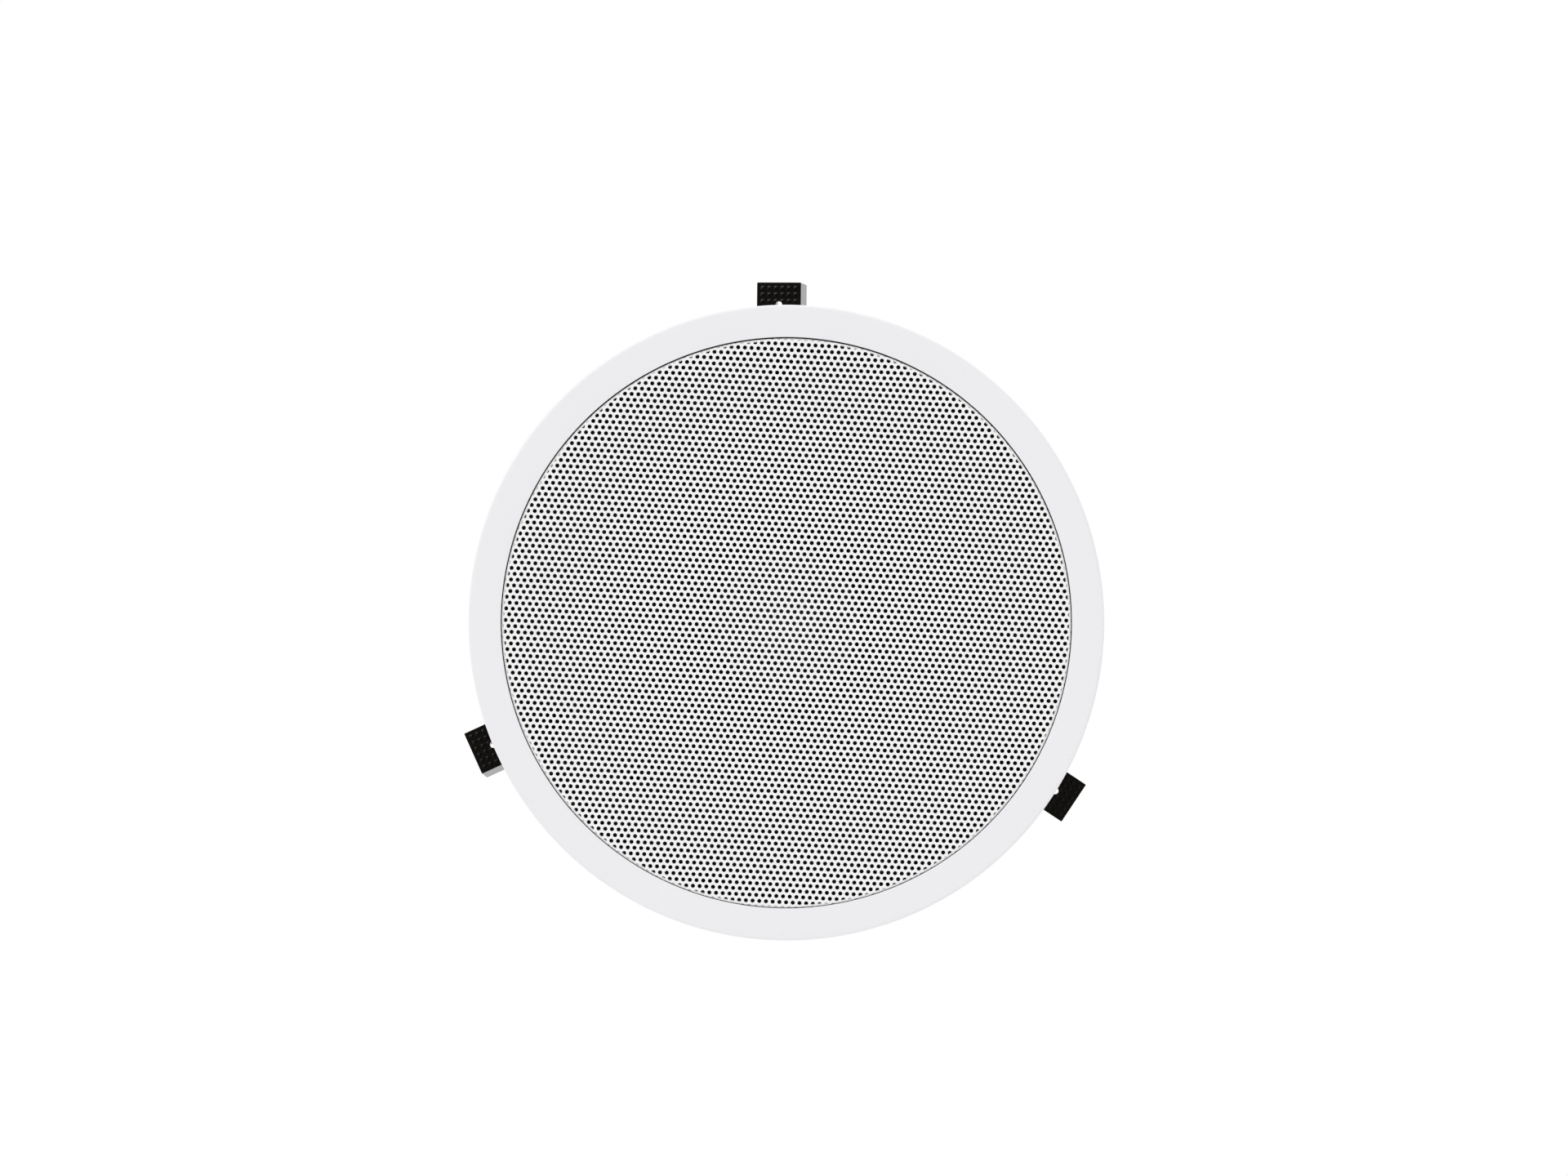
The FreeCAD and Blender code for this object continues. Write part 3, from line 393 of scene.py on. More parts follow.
def turned_mesh(name, corners, segments, steps=6, sector=None):
    """A section carried round the axis, or through one sector, given as its number and how many there are."""
    form = bmesh.new()
    section = round_corners(corners, steps)
    at, count = sector or (0, 1)
    rings = []
    for segment in range(segments + 1 if sector else segments):
        angle = 2 * math.pi * (at + segment / segments) / count
        across = Vector((math.cos(angle), 0, math.sin(angle)))
        rings.append([form.verts.new((across * x - Vector((0, y, 0))) * MM) for x, y in section])
    for segment in range(segments):
        ring, following = rings[segment], rings[(segment + 1) % len(rings)]
        for at_point in range(len(section)):
            form.faces.new((ring[at_point - 1], ring[at_point], following[at_point], following[at_point - 1]))
    if sector:
        form.faces.new(rings[0])
        form.faces.new(rings[-1])
    bmesh.ops.remove_doubles(form, verts=form.verts, dist=WELD_DISTANCE)
    bmesh.ops.dissolve_degenerate(form, edges=form.edges, dist=WELD_DISTANCE)
    bmesh.ops.delete(form, geom=[edge for edge in form.edges if not edge.link_faces], context="EDGES")
    bmesh.ops.recalc_face_normals(form, faces=form.faces)
    mesh = bpy.data.meshes.new(name)
    form.to_mesh(mesh)
    form.free()
    mesh.shade_smooth()
    mesh.set_sharp_from_angle(angle=math.radians(TURNED_CREASE))
    return mesh


# %% [markdown]
# ## Trim ring
#
# The ring is a white moulding with a flat face, a soft outer edge and a crisp inner wall round the grille,
# which sits on the black frame behind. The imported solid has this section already, so the finished ring
# repeats it with more segments, a finer outer edge and small rounds where a mould leaves them, which catch
# the light.

# %% Trim ring
RECESS_GAP = 0.36
POCKET_RADIUS = 112.3
POCKET_ROOF = 1.8
GASKET_GAP = 0.1
GASKET_GROOVE = 3.0
GASKET_ROOF = 1.2
SOFT_EDGE = 1.2
CRISP_EDGE = 0.3
ring_low, ring_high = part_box("trim_ring")
ring_radius = ring_high.x / MM
ring_face = -ring_low.y / MM
grille_low, grille_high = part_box("grille")
grille_radius = (grille_high.x - grille_low.x) / MM / 2
recess_radius = grille_radius + RECESS_GAP
recess_floor = -grille_high.y / MM
gasket_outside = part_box("panel_gasket")[1].x / MM + GASKET_GAP
gasket_inside = gasket_outside - GASKET_GROOVE
trim_ring = turned_mesh("trim_ring", [
    (recess_radius, POCKET_ROOF, 0.2),
    (POCKET_RADIUS, POCKET_ROOF),
    (POCKET_RADIUS, 0),
    (gasket_inside, 0),
    (gasket_inside, GASKET_ROOF),
    (gasket_outside, GASKET_ROOF),
    (gasket_outside, 0),
    (ring_radius, 0, CRISP_EDGE),
    (ring_radius, ring_face, SOFT_EDGE),
    (recess_radius, ring_face, CRISP_EDGE),
], segments=288, steps=8)
add_piece("trim_ring_moulding", trim_ring, "speaker_body", "white_abs", "trim_ring")
print("ring is", round(2 * ring_radius, 1), "mm across and stands", round(ring_face, 1), "mm proud")

# %% [markdown]
# ## Perforated grille
#
# The grille is steel sheet with round holes 2.5 mm apart in a honeycomb, sheared to a disc and pressed into
# a shallow dish, so the holes run on over the bent edge. Cutting over six thousand holes with booleans would
# be slow and leave a poor mesh. Instead Geometry Nodes lay one six-sided cell with a hole on every point of
# the honeycomb, weld the cells into a flat sheet, give it its thickness, and then bend it as the press does:
# a point's distance from the middle is measured along the sheet and carried over the bend and down the
# skirt. The rows lean three degrees, as they do in the photograph. The dish is made in three strips with
# about as many cells each, which keeps each mesh light.


# %% Node tree helpers
def new_tree(name, inputs):
    """A Geometry Nodes tree with named inputs, and the sockets that give their values."""
    tree = bpy.data.node_groups.new(name, "GeometryNodeTree")
    tree.interface.new_socket("Geometry", in_out="OUTPUT", socket_type="NodeSocketGeometry")
    for label, kind in inputs.items():
        tree.interface.new_socket(label, in_out="INPUT", socket_type="NodeSocket" + kind)
    return tree, add_node(tree, "NodeGroupInput").outputs


def end_tree(tree, geometry, material):
    """Ends a tree in Realize Instances and Set Material."""
    real = add_node(tree, "GeometryNodeRealizeInstances", links={0: geometry})
    painted = add_node(tree, "GeometryNodeSetMaterial", links={0: real, "Material": material})
    add_node(tree, "NodeGroupOutput", links={0: painted})


def mesh_from_tree(name, tree, values, places=(), sharp_above=35):
    """The plain mesh that a tree makes from its values and places, smooth up to an angle in degrees."""
    start = bpy.data.meshes.new(name + "_places")
    start.from_pydata(places, [], [])
    carrier = add_object(name, start)
    modifier = carrier.modifiers.new("nodes", "NODES")
    modifier.node_group = tree
    for item in tree.interface.items_tree:
        if item.in_out == "INPUT" and item.socket_type != "NodeSocketGeometry":
            modifier[item.identifier] = values[item.name]
    evaluated = carrier.evaluated_get(bpy.context.evaluated_depsgraph_get())
    mesh = bpy.data.meshes.new_from_object(evaluated)
    carrier.modifiers.remove(modifier)
    bpy.data.objects.remove(carrier)
    mesh.name = name
    mesh.shade_smooth()
    mesh.set_sharp_from_angle(angle=math.radians(sharp_above))
    return mesh


# %% One honeycomb cell with its hole
CELL_WELD = 0.02
dish_tree, dish = new_tree("perforated_dish", {
    "Pitch": "Float", "Hole Diameter": "Float", "Row Lean": "Vector", "First Hole": "Vector",
    "Columns": "Int", "Rows": "Int", "Strip From": "Float", "Strip To": "Float", "Cell Reach": "Float",
    "Sheet": "Float", "Bend Start": "Float", "Bend Radius": "Float", "Dish Place": "Vector",
    "Material": "Material",
})
hole_radius = add_node(dish_tree, MATH, {"operation": "MULTIPLY", 1: 0.5}, {0: dish["Hole Diameter"]})
hole_edge = add_node(dish_tree, "GeometryNodeMeshCircle", {"Vertices": 12}, {"Radius": hole_radius})
rim = add_node(dish_tree, "GeometryNodeExtrudeMesh", {"mode": "EDGES", "Offset Scale": 0.0},
               {"Mesh": hole_edge})
cell_place = add_node(dish_tree, "GeometryNodeInputPosition")
cell_xy = add_node(dish_tree, SEPARATE, links={0: cell_place})
cell_angle = add_node(dish_tree, MATH, {"operation": "ARCTAN2"},
                      {0: cell_xy.outputs["Y"], 1: cell_xy.outputs["X"]})
six_angles = add_node(dish_tree, MATH, {"operation": "MULTIPLY", 1: 6.0}, {0: cell_angle})
side_or_corner = add_node(dish_tree, MATH, {"operation": "COSINE"}, {0: six_angles})
to_side = add_node(dish_tree, MATH, {"operation": "MULTIPLY", 1: 0.5}, {0: dish["Pitch"]})
to_corner = add_node(dish_tree, MATH, {"operation": "DIVIDE", 1: math.sqrt(3)}, {0: dish["Pitch"]})
hexagon = add_node(dish_tree, "ShaderNodeMapRange", {"From Min": 1.0, "From Max": -1.0},
                   {"Value": side_or_corner, "To Min": to_side, "To Max": to_corner})
outward = add_node(dish_tree, VECTOR_MATH, {"operation": "NORMALIZE"}, {0: cell_place})
hexagon_place = add_node(dish_tree, VECTOR_MATH, {"operation": "SCALE"}, {0: outward, "Scale": hexagon})
cell = add_node(dish_tree, "GeometryNodeSetPosition",
                links={0: rim.outputs["Mesh"], "Selection": rim.outputs["Top"], "Position": hexagon_place})

# %% Honeycomb of points, two oblong grids set half a step apart
row_pair = add_node(dish_tree, MATH, {"operation": "MULTIPLY", 1: math.sqrt(3)}, {0: dish["Pitch"]})
grid = add_node(dish_tree, "GeometryNodeMeshGrid")
for axis, count, step in (("X", dish["Columns"], dish["Pitch"]), ("Y", dish["Rows"], row_pair.outputs[0])):
    steps = add_node(dish_tree, MATH, {"operation": "SUBTRACT", 1: 1.0}, {0: count})
    length = add_node(dish_tree, MATH, {"operation": "MULTIPLY"}, {0: steps, 1: step})
    dish_tree.links.new(count, grid.inputs["Vertices " + axis])
    dish_tree.links.new(length.outputs[0], grid.inputs["Size " + axis])
half_row = add_node(dish_tree, MATH, {"operation": "MULTIPLY", 1: 0.5}, {0: row_pair})
half_step = add_node(dish_tree, COMBINE, links={"X": to_side, "Y": half_row})
second_grid = add_node(dish_tree, "GeometryNodeTransform", links={0: grid, "Translation": half_step})
both_grids = add_node(dish_tree, "GeometryNodeJoinGeometry", links={0: grid})
dish_tree.links.new(second_grid.outputs[0], both_grids.inputs[0])
honeycomb = add_node(dish_tree, "GeometryNodeTransform", links={
    0: both_grids, "Translation": dish["First Hole"], "Rotation": dish["Row Lean"],
})
point_place = add_node(dish_tree, "GeometryNodeInputPosition")
point_reach = add_node(dish_tree, VECTOR_MATH, {"operation": "LENGTH"}, {0: point_place})
point_x = add_node(dish_tree, SEPARATE, links={0: point_place})
in_reach = add_node(dish_tree, "FunctionNodeCompare", {"operation": "LESS_THAN"},
                    {0: point_reach.outputs["Value"], 1: dish["Cell Reach"]})
after_start = add_node(dish_tree, "FunctionNodeCompare", {"operation": "GREATER_EQUAL"},
                       {0: point_x.outputs["X"], 1: dish["Strip From"]})
before_end = add_node(dish_tree, "FunctionNodeCompare", {"operation": "LESS_THAN"},
                      {0: point_x.outputs["X"], 1: dish["Strip To"]})
in_strip = add_node(dish_tree, "FunctionNodeBooleanMath", {"operation": "AND"},
                    {0: after_start, 1: before_end})
kept = add_node(dish_tree, "FunctionNodeBooleanMath", {"operation": "AND"}, {0: in_reach, 1: in_strip})
strip_points = add_node(dish_tree, "GeometryNodeSeparateGeometry", {"domain": "POINT"},
                        {0: honeycomb, "Selection": kept})

# %% Welded sheet with its thickness
laid_cells = add_node(dish_tree, "GeometryNodeInstanceOnPoints", links={
    "Points": strip_points.outputs["Selection"], "Instance": cell, "Rotation": dish["Row Lean"],
})
loose_cells = add_node(dish_tree, "GeometryNodeRealizeInstances", links={0: laid_cells})
back_face = add_node(dish_tree, "GeometryNodeMergeByDistance", {"Distance": CELL_WELD * MM}, {0: loose_cells})
through_sheet = add_node(dish_tree, COMBINE, links={"Z": dish["Sheet"]})
front_face = add_node(dish_tree, "GeometryNodeExtrudeMesh", {"mode": "FACES", "Individual": False},
                      {"Mesh": back_face, "Offset": through_sheet})
turned_back = add_node(dish_tree, "GeometryNodeFlipFaces", links={0: back_face})
both_faces = add_node(dish_tree, "GeometryNodeJoinGeometry", links={0: front_face.outputs["Mesh"]})
dish_tree.links.new(turned_back.outputs[0], both_faces.inputs[0])
flat_sheet = add_node(dish_tree, "GeometryNodeMergeByDistance", {"Distance": CELL_WELD * MM}, {0: both_faces})

# %% Sheet pressed into a dish
sheet_place = add_node(dish_tree, "GeometryNodeInputPosition")
sheet_xyz = add_node(dish_tree, SEPARATE, links={0: sheet_place})
sheet_xy = add_node(dish_tree, VECTOR_MATH, {"operation": "MULTIPLY", 1: (1, 1, 0)}, {0: sheet_place})
along = add_node(dish_tree, VECTOR_MATH, {"operation": "LENGTH"}, {0: sheet_xy})
flat_reach = add_node(dish_tree, MATH, {"operation": "MINIMUM"},
                      {0: along.outputs["Value"], 1: dish["Bend Start"]})
past_flat = add_node(dish_tree, MATH, {"operation": "SUBTRACT"}, {0: along.outputs["Value"], 1: flat_reach})
free_angle = add_node(dish_tree, MATH, {"operation": "DIVIDE"}, {0: past_flat, 1: dish["Bend Radius"]})
bend_angle = add_node(dish_tree, MATH, {"operation": "MINIMUM", 1: math.pi / 2}, {0: free_angle})
bend_length = add_node(dish_tree, MATH, {"operation": "MULTIPLY"}, {0: bend_angle, 1: dish["Bend Radius"]})
down_skirt = add_node(dish_tree, MATH, {"operation": "SUBTRACT"}, {0: past_flat, 1: bend_length})
under_front = add_node(dish_tree, MATH, {"operation": "SUBTRACT"},
                       {0: dish["Sheet"], 1: sheet_xyz.outputs["Z"]})
bend_here = add_node(dish_tree, MATH, {"operation": "SUBTRACT"}, {0: dish["Bend Radius"], 1: under_front})
sine = add_node(dish_tree, MATH, {"operation": "SINE"}, {0: bend_angle})
cosine = add_node(dish_tree, MATH, {"operation": "COSINE"}, {0: bend_angle})
dish_reach = add_node(dish_tree, MATH, {"operation": "MULTIPLY_ADD"}, {0: bend_here, 1: sine, 2: flat_reach})
over_bend = add_node(dish_tree, MATH, {"operation": "MULTIPLY"}, {0: bend_here, 1: cosine})
to_bend_centre = add_node(dish_tree, MATH, {"operation": "SUBTRACT"}, {0: dish["Bend Radius"], 1: over_bend})
dish_depth = add_node(dish_tree, MATH, {"operation": "ADD"}, {0: to_bend_centre, 1: down_skirt})
sheet_outward = add_node(dish_tree, VECTOR_MATH, {"operation": "NORMALIZE"}, {0: sheet_xy})
dish_xy = add_node(dish_tree, VECTOR_MATH, {"operation": "SCALE"}, {0: sheet_outward, "Scale": dish_reach})
dish_parts = add_node(dish_tree, SEPARATE, links={0: dish_xy})
stood_up = add_node(dish_tree, COMBINE, links={
    "X": dish_parts.outputs["X"], "Y": dish_depth, "Z": dish_parts.outputs["Y"],
})
in_place = add_node(dish_tree, VECTOR_MATH, {"operation": "ADD"}, {0: stood_up, 1: dish["Dish Place"]})
pressed = add_node(dish_tree, "GeometryNodeSetPosition", links={0: flat_sheet, "Position": in_place})
end_tree(dish_tree, pressed, dish["Material"])
print("the tree has", len(dish_tree.nodes), "nodes")

# %% Grille in three strips
PERFORATION_PITCH = 2.5
PERFORATION_DIAMETER = 1.6
GRILLE_SHEET = 0.8
GRILLE_BEND = 1.0
ROW_LEAN = -3.03
FIRST_HOLE = Vector((0.40, 0, -0.19))
STRIP_SHARE = 0.265
SPARE_CELLS = 1
grille_top = -grille_low.y / MM
grille_middle = (grille_low + grille_high) / 2
first_hole = FIRST_HOLE * MM - grille_middle
skirt_length = grille_top - recess_floor - GRILLE_BEND
sheet_reach = grille_radius - GRILLE_BEND + GRILLE_BEND * math.pi / 2 + skirt_length
cell_reach = sheet_reach - PERFORATION_PITCH / math.sqrt(3)
columns = 2 * (math.ceil(cell_reach / PERFORATION_PITCH) + SPARE_CELLS) + 1
rows = 2 * (math.ceil(cell_reach / PERFORATION_PITCH / math.sqrt(3)) + SPARE_CELLS) + 1
strip_edges = [share * cell_reach for share in (-1, -STRIP_SHARE, STRIP_SHARE, 1)]
for at, (strip_from, strip_to) in enumerate(zip(strip_edges, strip_edges[1:]), 1):
    strip = mesh_from_tree(f"grille_strip_{at}", dish_tree, {
        "Pitch": PERFORATION_PITCH * MM,
        "Hole Diameter": PERFORATION_DIAMETER * MM,
        "Row Lean": (0, 0, math.radians(ROW_LEAN)),
        "First Hole": (first_hole.x, first_hole.z, 0),
        "Columns": columns,
        "Rows": rows,
        "Strip From": strip_from * MM,
        "Strip To": strip_to * MM,
        "Cell Reach": cell_reach * MM,
        "Sheet": GRILLE_SHEET * MM,
        "Bend Start": (grille_radius - GRILLE_BEND) * MM,
        "Bend Radius": GRILLE_BEND * MM,
        "Dish Place": (grille_middle.x, grille_low.y, grille_middle.z),
        "Material": finish["white_powder_coat"],
    }, sharp_above=45)
    places = [strip.vertices[loop.vertex_index].co for loop in strip.loops]
    flat_map = strip.uv_layers.new(name="OFBake")
    flat_map.data.foreach_set("uv", [share for place in places for share in (
        (place.x - grille_low.x) / (grille_high.x - grille_low.x),
        (place.z - grille_low.z) / (grille_high.z - grille_low.z),
    )])
    add_piece(f"grille_strip_{at}", strip, "speaker_body", "white_powder_coat", "grille")

# %% [markdown]
# ## Screws
#
# Pan-head screws hold the frame to the ring, the driver to the frame and the board to its posts. Each could
# be modelled once and copied by hand. Here Geometry Nodes draw a cylinder in towards its top, which gives
# the head its crown, cut the cross with two tapered blades, and set a copy on every place that the packed
# solids give, each turned at random, as a screwdriver leaves it.


# %% Places of the separate solids in a node
def solids_in(name):
    """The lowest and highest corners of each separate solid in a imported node, from left to right."""
    form = bmesh.new()
    form.from_mesh(nodes[name].data)
    bmesh.ops.remove_doubles(form, verts=form.verts, dist=1e-6)
    waiting = set(form.verts)
    solids = []
    while waiting:
        reached = [waiting.pop()]
        for vert in reached:
            nearby = {edge.other_vert(vert) for edge in vert.link_edges} & waiting
            waiting -= nearby
            reached.extend(nearby)
        places = [vert.co for vert in reached]
        solids.append([Vector(map(pick, zip(*places))) for pick in (min, max)])
    form.free()
    return sorted(solids, key=lambda corners: (round(corners[0].x, 5), round(corners[0].z, 5)))


print("the frame is held by", len(solids_in("ring_screws")), "screws")

# %% Screw head
screw_tree, screw = new_tree("cross_head_screw", {
    "Places": "Geometry", "Head Diameter": "Float", "Head Height": "Float", "Crown": "Float",
    "Blade Length": "Float", "Second Blade": "Float", "Blade Width": "Float", "Blade Depth": "Float",
    "Shank Diameter": "Float", "Shank Length": "Float", "Facing": "Vector", "Seed": "Int",
    "Material": "Material",
})
half_head, half_height, half_shank, below_seat, blade_height, less_depth = [
    add_node(screw_tree, MATH, {"operation": "MULTIPLY", 1: factor}, {0: screw[label]})
    for label, factor in (("Head Diameter", 0.5), ("Head Height", 0.5), ("Shank Diameter", 0.5),
                          ("Shank Length", -0.5), ("Blade Depth", 2.0), ("Blade Depth", -1.0))
]
blank = add_node(screw_tree, "GeometryNodeMeshCylinder", {"Vertices": 24, "Side Segments": 6},
                 {"Radius": half_head, "Depth": screw["Head Height"]})
blank_place = add_node(screw_tree, "GeometryNodeInputPosition")
blank_xyz = add_node(screw_tree, SEPARATE, links={0: blank_place})
rise_share = add_node(screw_tree, MATH, {"operation": "DIVIDE"},
                      {0: blank_xyz.outputs["Z"], 1: screw["Head Height"]})
from_seat = add_node(screw_tree, MATH, {"operation": "ADD", 1: 0.5}, {0: rise_share})
late_rise = add_node(screw_tree, MATH, {"operation": "POWER", 1: 3.0}, {0: from_seat})
drawn_in = add_node(screw_tree, "ShaderNodeMapRange", {"To Min": 1.0},
                    {"Value": late_rise, "To Max": screw["Crown"]})
draw = add_node(screw_tree, COMBINE, {"Z": 1.0}, {"X": drawn_in, "Y": drawn_in})
crowned = add_node(screw_tree, VECTOR_MATH, {"operation": "MULTIPLY"}, {0: blank_place, 1: draw})
crowned_head = add_node(screw_tree, "GeometryNodeSetPosition",
                        links={0: blank.outputs["Mesh"], "Position": crowned})
onto_seat = add_node(screw_tree, COMBINE, links={"Z": half_height})
head = add_node(screw_tree, "GeometryNodeTransform", links={0: crowned_head, "Translation": onto_seat})

# %% Cross in the head, the shank, and the copies
head_top = add_node(screw_tree, COMBINE, links={"Z": screw["Head Height"]})
recessed = add_node(screw_tree, "GeometryNodeMeshBoolean", {"operation": "DIFFERENCE", "solver": "EXACT"},
                    {0: head})
for blade_length, turn in (("Blade Length", 0.0), ("Second Blade", math.pi / 2)):
    blade_size = add_node(screw_tree, COMBINE, links={
        "X": screw[blade_length], "Y": screw["Blade Width"], "Z": blade_height,
    })
    blade = add_node(screw_tree, "GeometryNodeMeshCube", links={"Size": blade_size})
    blade_place = add_node(screw_tree, "GeometryNodeInputPosition")
    blade_xyz = add_node(screw_tree, SEPARATE, links={0: blade_place})
    taper = add_node(screw_tree, "ShaderNodeMapRange", {"To Min": 0.5, "To Max": 1.5}, {
        "Value": blade_xyz.outputs["Z"], "From Min": less_depth, "From Max": screw["Blade Depth"],
    })
    tapers = add_node(screw_tree, COMBINE, {"Y": 1.0, "Z": 1.0}, {"X": taper})
    pointed = add_node(screw_tree, VECTOR_MATH, {"operation": "MULTIPLY"}, {0: blade_place, 1: tapers})
    pointed_blade = add_node(screw_tree, "GeometryNodeSetPosition",
                             links={0: blade.outputs["Mesh"], "Position": pointed})
    set_blade = add_node(screw_tree, "GeometryNodeTransform", {"Rotation": (0, 0, turn)},
                         {0: pointed_blade, "Translation": head_top})
    screw_tree.links.new(set_blade.outputs[0], recessed.inputs[1])
shank = add_node(screw_tree, "GeometryNodeMeshCylinder", {"Vertices": 16},
                 {"Radius": half_shank, "Depth": screw["Shank Length"]})
under_head = add_node(screw_tree, COMBINE, links={"Z": below_seat})
set_shank = add_node(screw_tree, "GeometryNodeTransform",
                     links={0: shank.outputs["Mesh"], "Translation": under_head})
whole_screw = add_node(screw_tree, "GeometryNodeJoinGeometry", links={0: recessed})
screw_tree.links.new(set_shank.outputs[0], whole_screw.inputs[0])
set_screws = add_node(screw_tree, "GeometryNodeInstanceOnPoints", links={
    "Points": screw["Places"], "Instance": whole_screw, "Rotation": screw["Facing"],
})
driven = add_node(screw_tree, "FunctionNodeRandomValue", {2: 0.0, 3: math.tau}, {"Seed": screw["Seed"]})
driven_turn = add_node(screw_tree, COMBINE, links={"Z": driven.outputs[1]})
driven_screws = add_node(screw_tree, "GeometryNodeRotateInstances", {"Local Space": True},
                         {0: set_screws, "Rotation": driven_turn})
end_tree(screw_tree, driven_screws, screw["Material"])
print("the screw tree has", len(screw_tree.nodes), "nodes")

# %% Screws of every kind
FACING_FRONT = (math.pi / 2, 0, 0)
FACING_BACK = (-math.pi / 2, 0, 0)


def add_screws(name, node, body, head_height, shank_diameter, facing, slotted=False):
    """Puts a screw on each solid of a node. Heights and diameters are in millimetres."""
    solids = solids_in(node)
    low, high = solids[0]
    diameter = (high.x - low.x) / MM
    if facing == FACING_BACK:
        seat = high.y - head_height * MM
    else:
        seat = low.y + head_height * MM
    places = [((low.x + high.x) / 2, seat, (low.z + high.z) / 2) for low, high in solids]
    mesh = mesh_from_tree(name, screw_tree, {
        "Head Diameter": diameter * MM,
        "Head Height": head_height * MM,
        "Crown": 0.9 if slotted else 0.62,
        "Blade Length": (1.1 if slotted else 0.5) * diameter * MM,
        "Second Blade": (0.2 if slotted else 0.5) * diameter * MM,
        "Blade Width": (0.2 if slotted else 0.12) * diameter * MM,
        "Blade Depth": 0.55 * head_height * MM,
        "Shank Diameter": shank_diameter * MM,
        "Shank Length": high.y - low.y - head_height * MM,
        "Facing": facing,
        "Seed": 7,
        "Material": finish[slot_of[node]],
    }, places)
    add_piece(name, mesh, body, slot_of[node], node)


add_screws("ring_screw_set", "ring_screws", "speaker_body", 1.15, 2.5, FACING_BACK)
add_screws("driver_screw_set", "woofer_screws", "speaker_body", 2.0, 2.8, FACING_FRONT)
add_screws("board_screw_set", "crossover_screws", "speaker_body", 1.6, 2.2, FACING_BACK)
add_screws("terminal_screw_set", "terminal_screws", "speaker_body", 1.6, 2.4, FACING_BACK, slotted=True)
add_screws("tweeter_post_bolt", "post_bolt", "speaker_body", 3.2, 6.0, FACING_BACK)

# %% [markdown]
# ## Threads and windings
#
# A clamp is drawn tight by a long M4 screw, and its thread is what the eye finds behind the speaker. A
# thread is a ridge that climbs a shank in a spiral, and so is the wire on the crossover's coil, only that
# its ridge is round. A long mesh twisted by modifiers could do it too. Here one tree of Geometry Nodes
# sweeps a small profile along a spiral curve, and both pieces come from it with their real sizes. The
# thread's profile is a diamond, and its inner half is sunk in the shank.

# %% Ridge along a spiral
spiral_tree, spiral = new_tree("spiral_ridge", {
    "Ridge Diameter": "Float", "Ridge Rise": "Float", "Ridge Width": "Float", "Ridge Corners": "Int",
    "Pitch": "Float", "Turns": "Float", "Steps": "Int", "Place": "Vector", "Facing": "Vector",
    "Material": "Material",
})
climb = add_node(spiral_tree, MATH, {"operation": "MULTIPLY"}, {0: spiral["Pitch"], 1: spiral["Turns"]})
ridge_reach = add_node(spiral_tree, MATH, {"operation": "MULTIPLY", 1: 0.5}, {0: spiral["Ridge Diameter"]})
ridge_line = add_node(spiral_tree, "GeometryNodeCurveSpiral", {"Reverse": True}, {
    "Resolution": spiral["Steps"], "Rotations": spiral["Turns"], "Start Radius": ridge_reach,
    "End Radius": ridge_reach, "Height": climb,
})
level_line = add_node(spiral_tree, "GeometryNodeSetCurveNormal", {"mode": "Z_UP"}, {0: ridge_line})
round_profile = add_node(spiral_tree, "GeometryNodeCurvePrimitiveCircle", {"Radius": 1.0},
                         {"Resolution": spiral["Ridge Corners"]})
profile_size = add_node(spiral_tree, COMBINE, {"Z": 1.0},
                        {"X": spiral["Ridge Rise"], "Y": spiral["Ridge Width"]})
profile = add_node(spiral_tree, "GeometryNodeTransform", links={0: round_profile, "Scale": profile_size})
ridge = add_node(spiral_tree, "GeometryNodeCurveToMesh", {"Fill Caps": True},
                 {"Curve": level_line, "Profile Curve": profile})
set_ridge = add_node(spiral_tree, "GeometryNodeTransform", links={
    0: ridge, "Translation": spiral["Place"], "Rotation": spiral["Facing"],
})
end_tree(spiral_tree, set_ridge, spiral["Material"])
print("the spiral tree has", len(spiral_tree.nodes), "nodes")

# %% Clamp screws
THREAD_PITCH = 0.7
THREAD_DEPTH = 0.43
THREAD_DIAMETER = 4.0
THREAD_ROOT = THREAD_DIAMETER - 2 * THREAD_DEPTH
THREAD_FOOT = 0.47
CLAMP_HEAD = 3.0
PLAIN_SHANK = 6.0
PLAIN_END = 0.4
for at in (1, 2, 3):
    node = f"clamp_screw_{at}"
    low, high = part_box(node)
    add_screws(f"clamp_screw_body_{at}", node, node, CLAMP_HEAD, THREAD_ROOT, FACING_FRONT)
    thread_start = low.y / MM + CLAMP_HEAD + PLAIN_SHANK
    thread = mesh_from_tree(f"clamp_screw_thread_{at}", spiral_tree, {
        "Ridge Diameter": THREAD_ROOT * MM,
        "Ridge Rise": THREAD_DEPTH * MM,
        "Ridge Width": THREAD_FOOT * THREAD_PITCH * MM,
        "Ridge Corners": 4,
        "Pitch": THREAD_PITCH * MM,
        "Turns": (high.y / MM - thread_start - PLAIN_END) / THREAD_PITCH,
        "Steps": 16,
        "Place": ((low.x + high.x) / 2, thread_start * MM, (low.z + high.z) / 2),
        "Facing": FACING_BACK,
        "Material": finish[slot_of[node]],
    })
    add_piece(f"clamp_screw_thread_{at}", thread, node, slot_of[node], node)

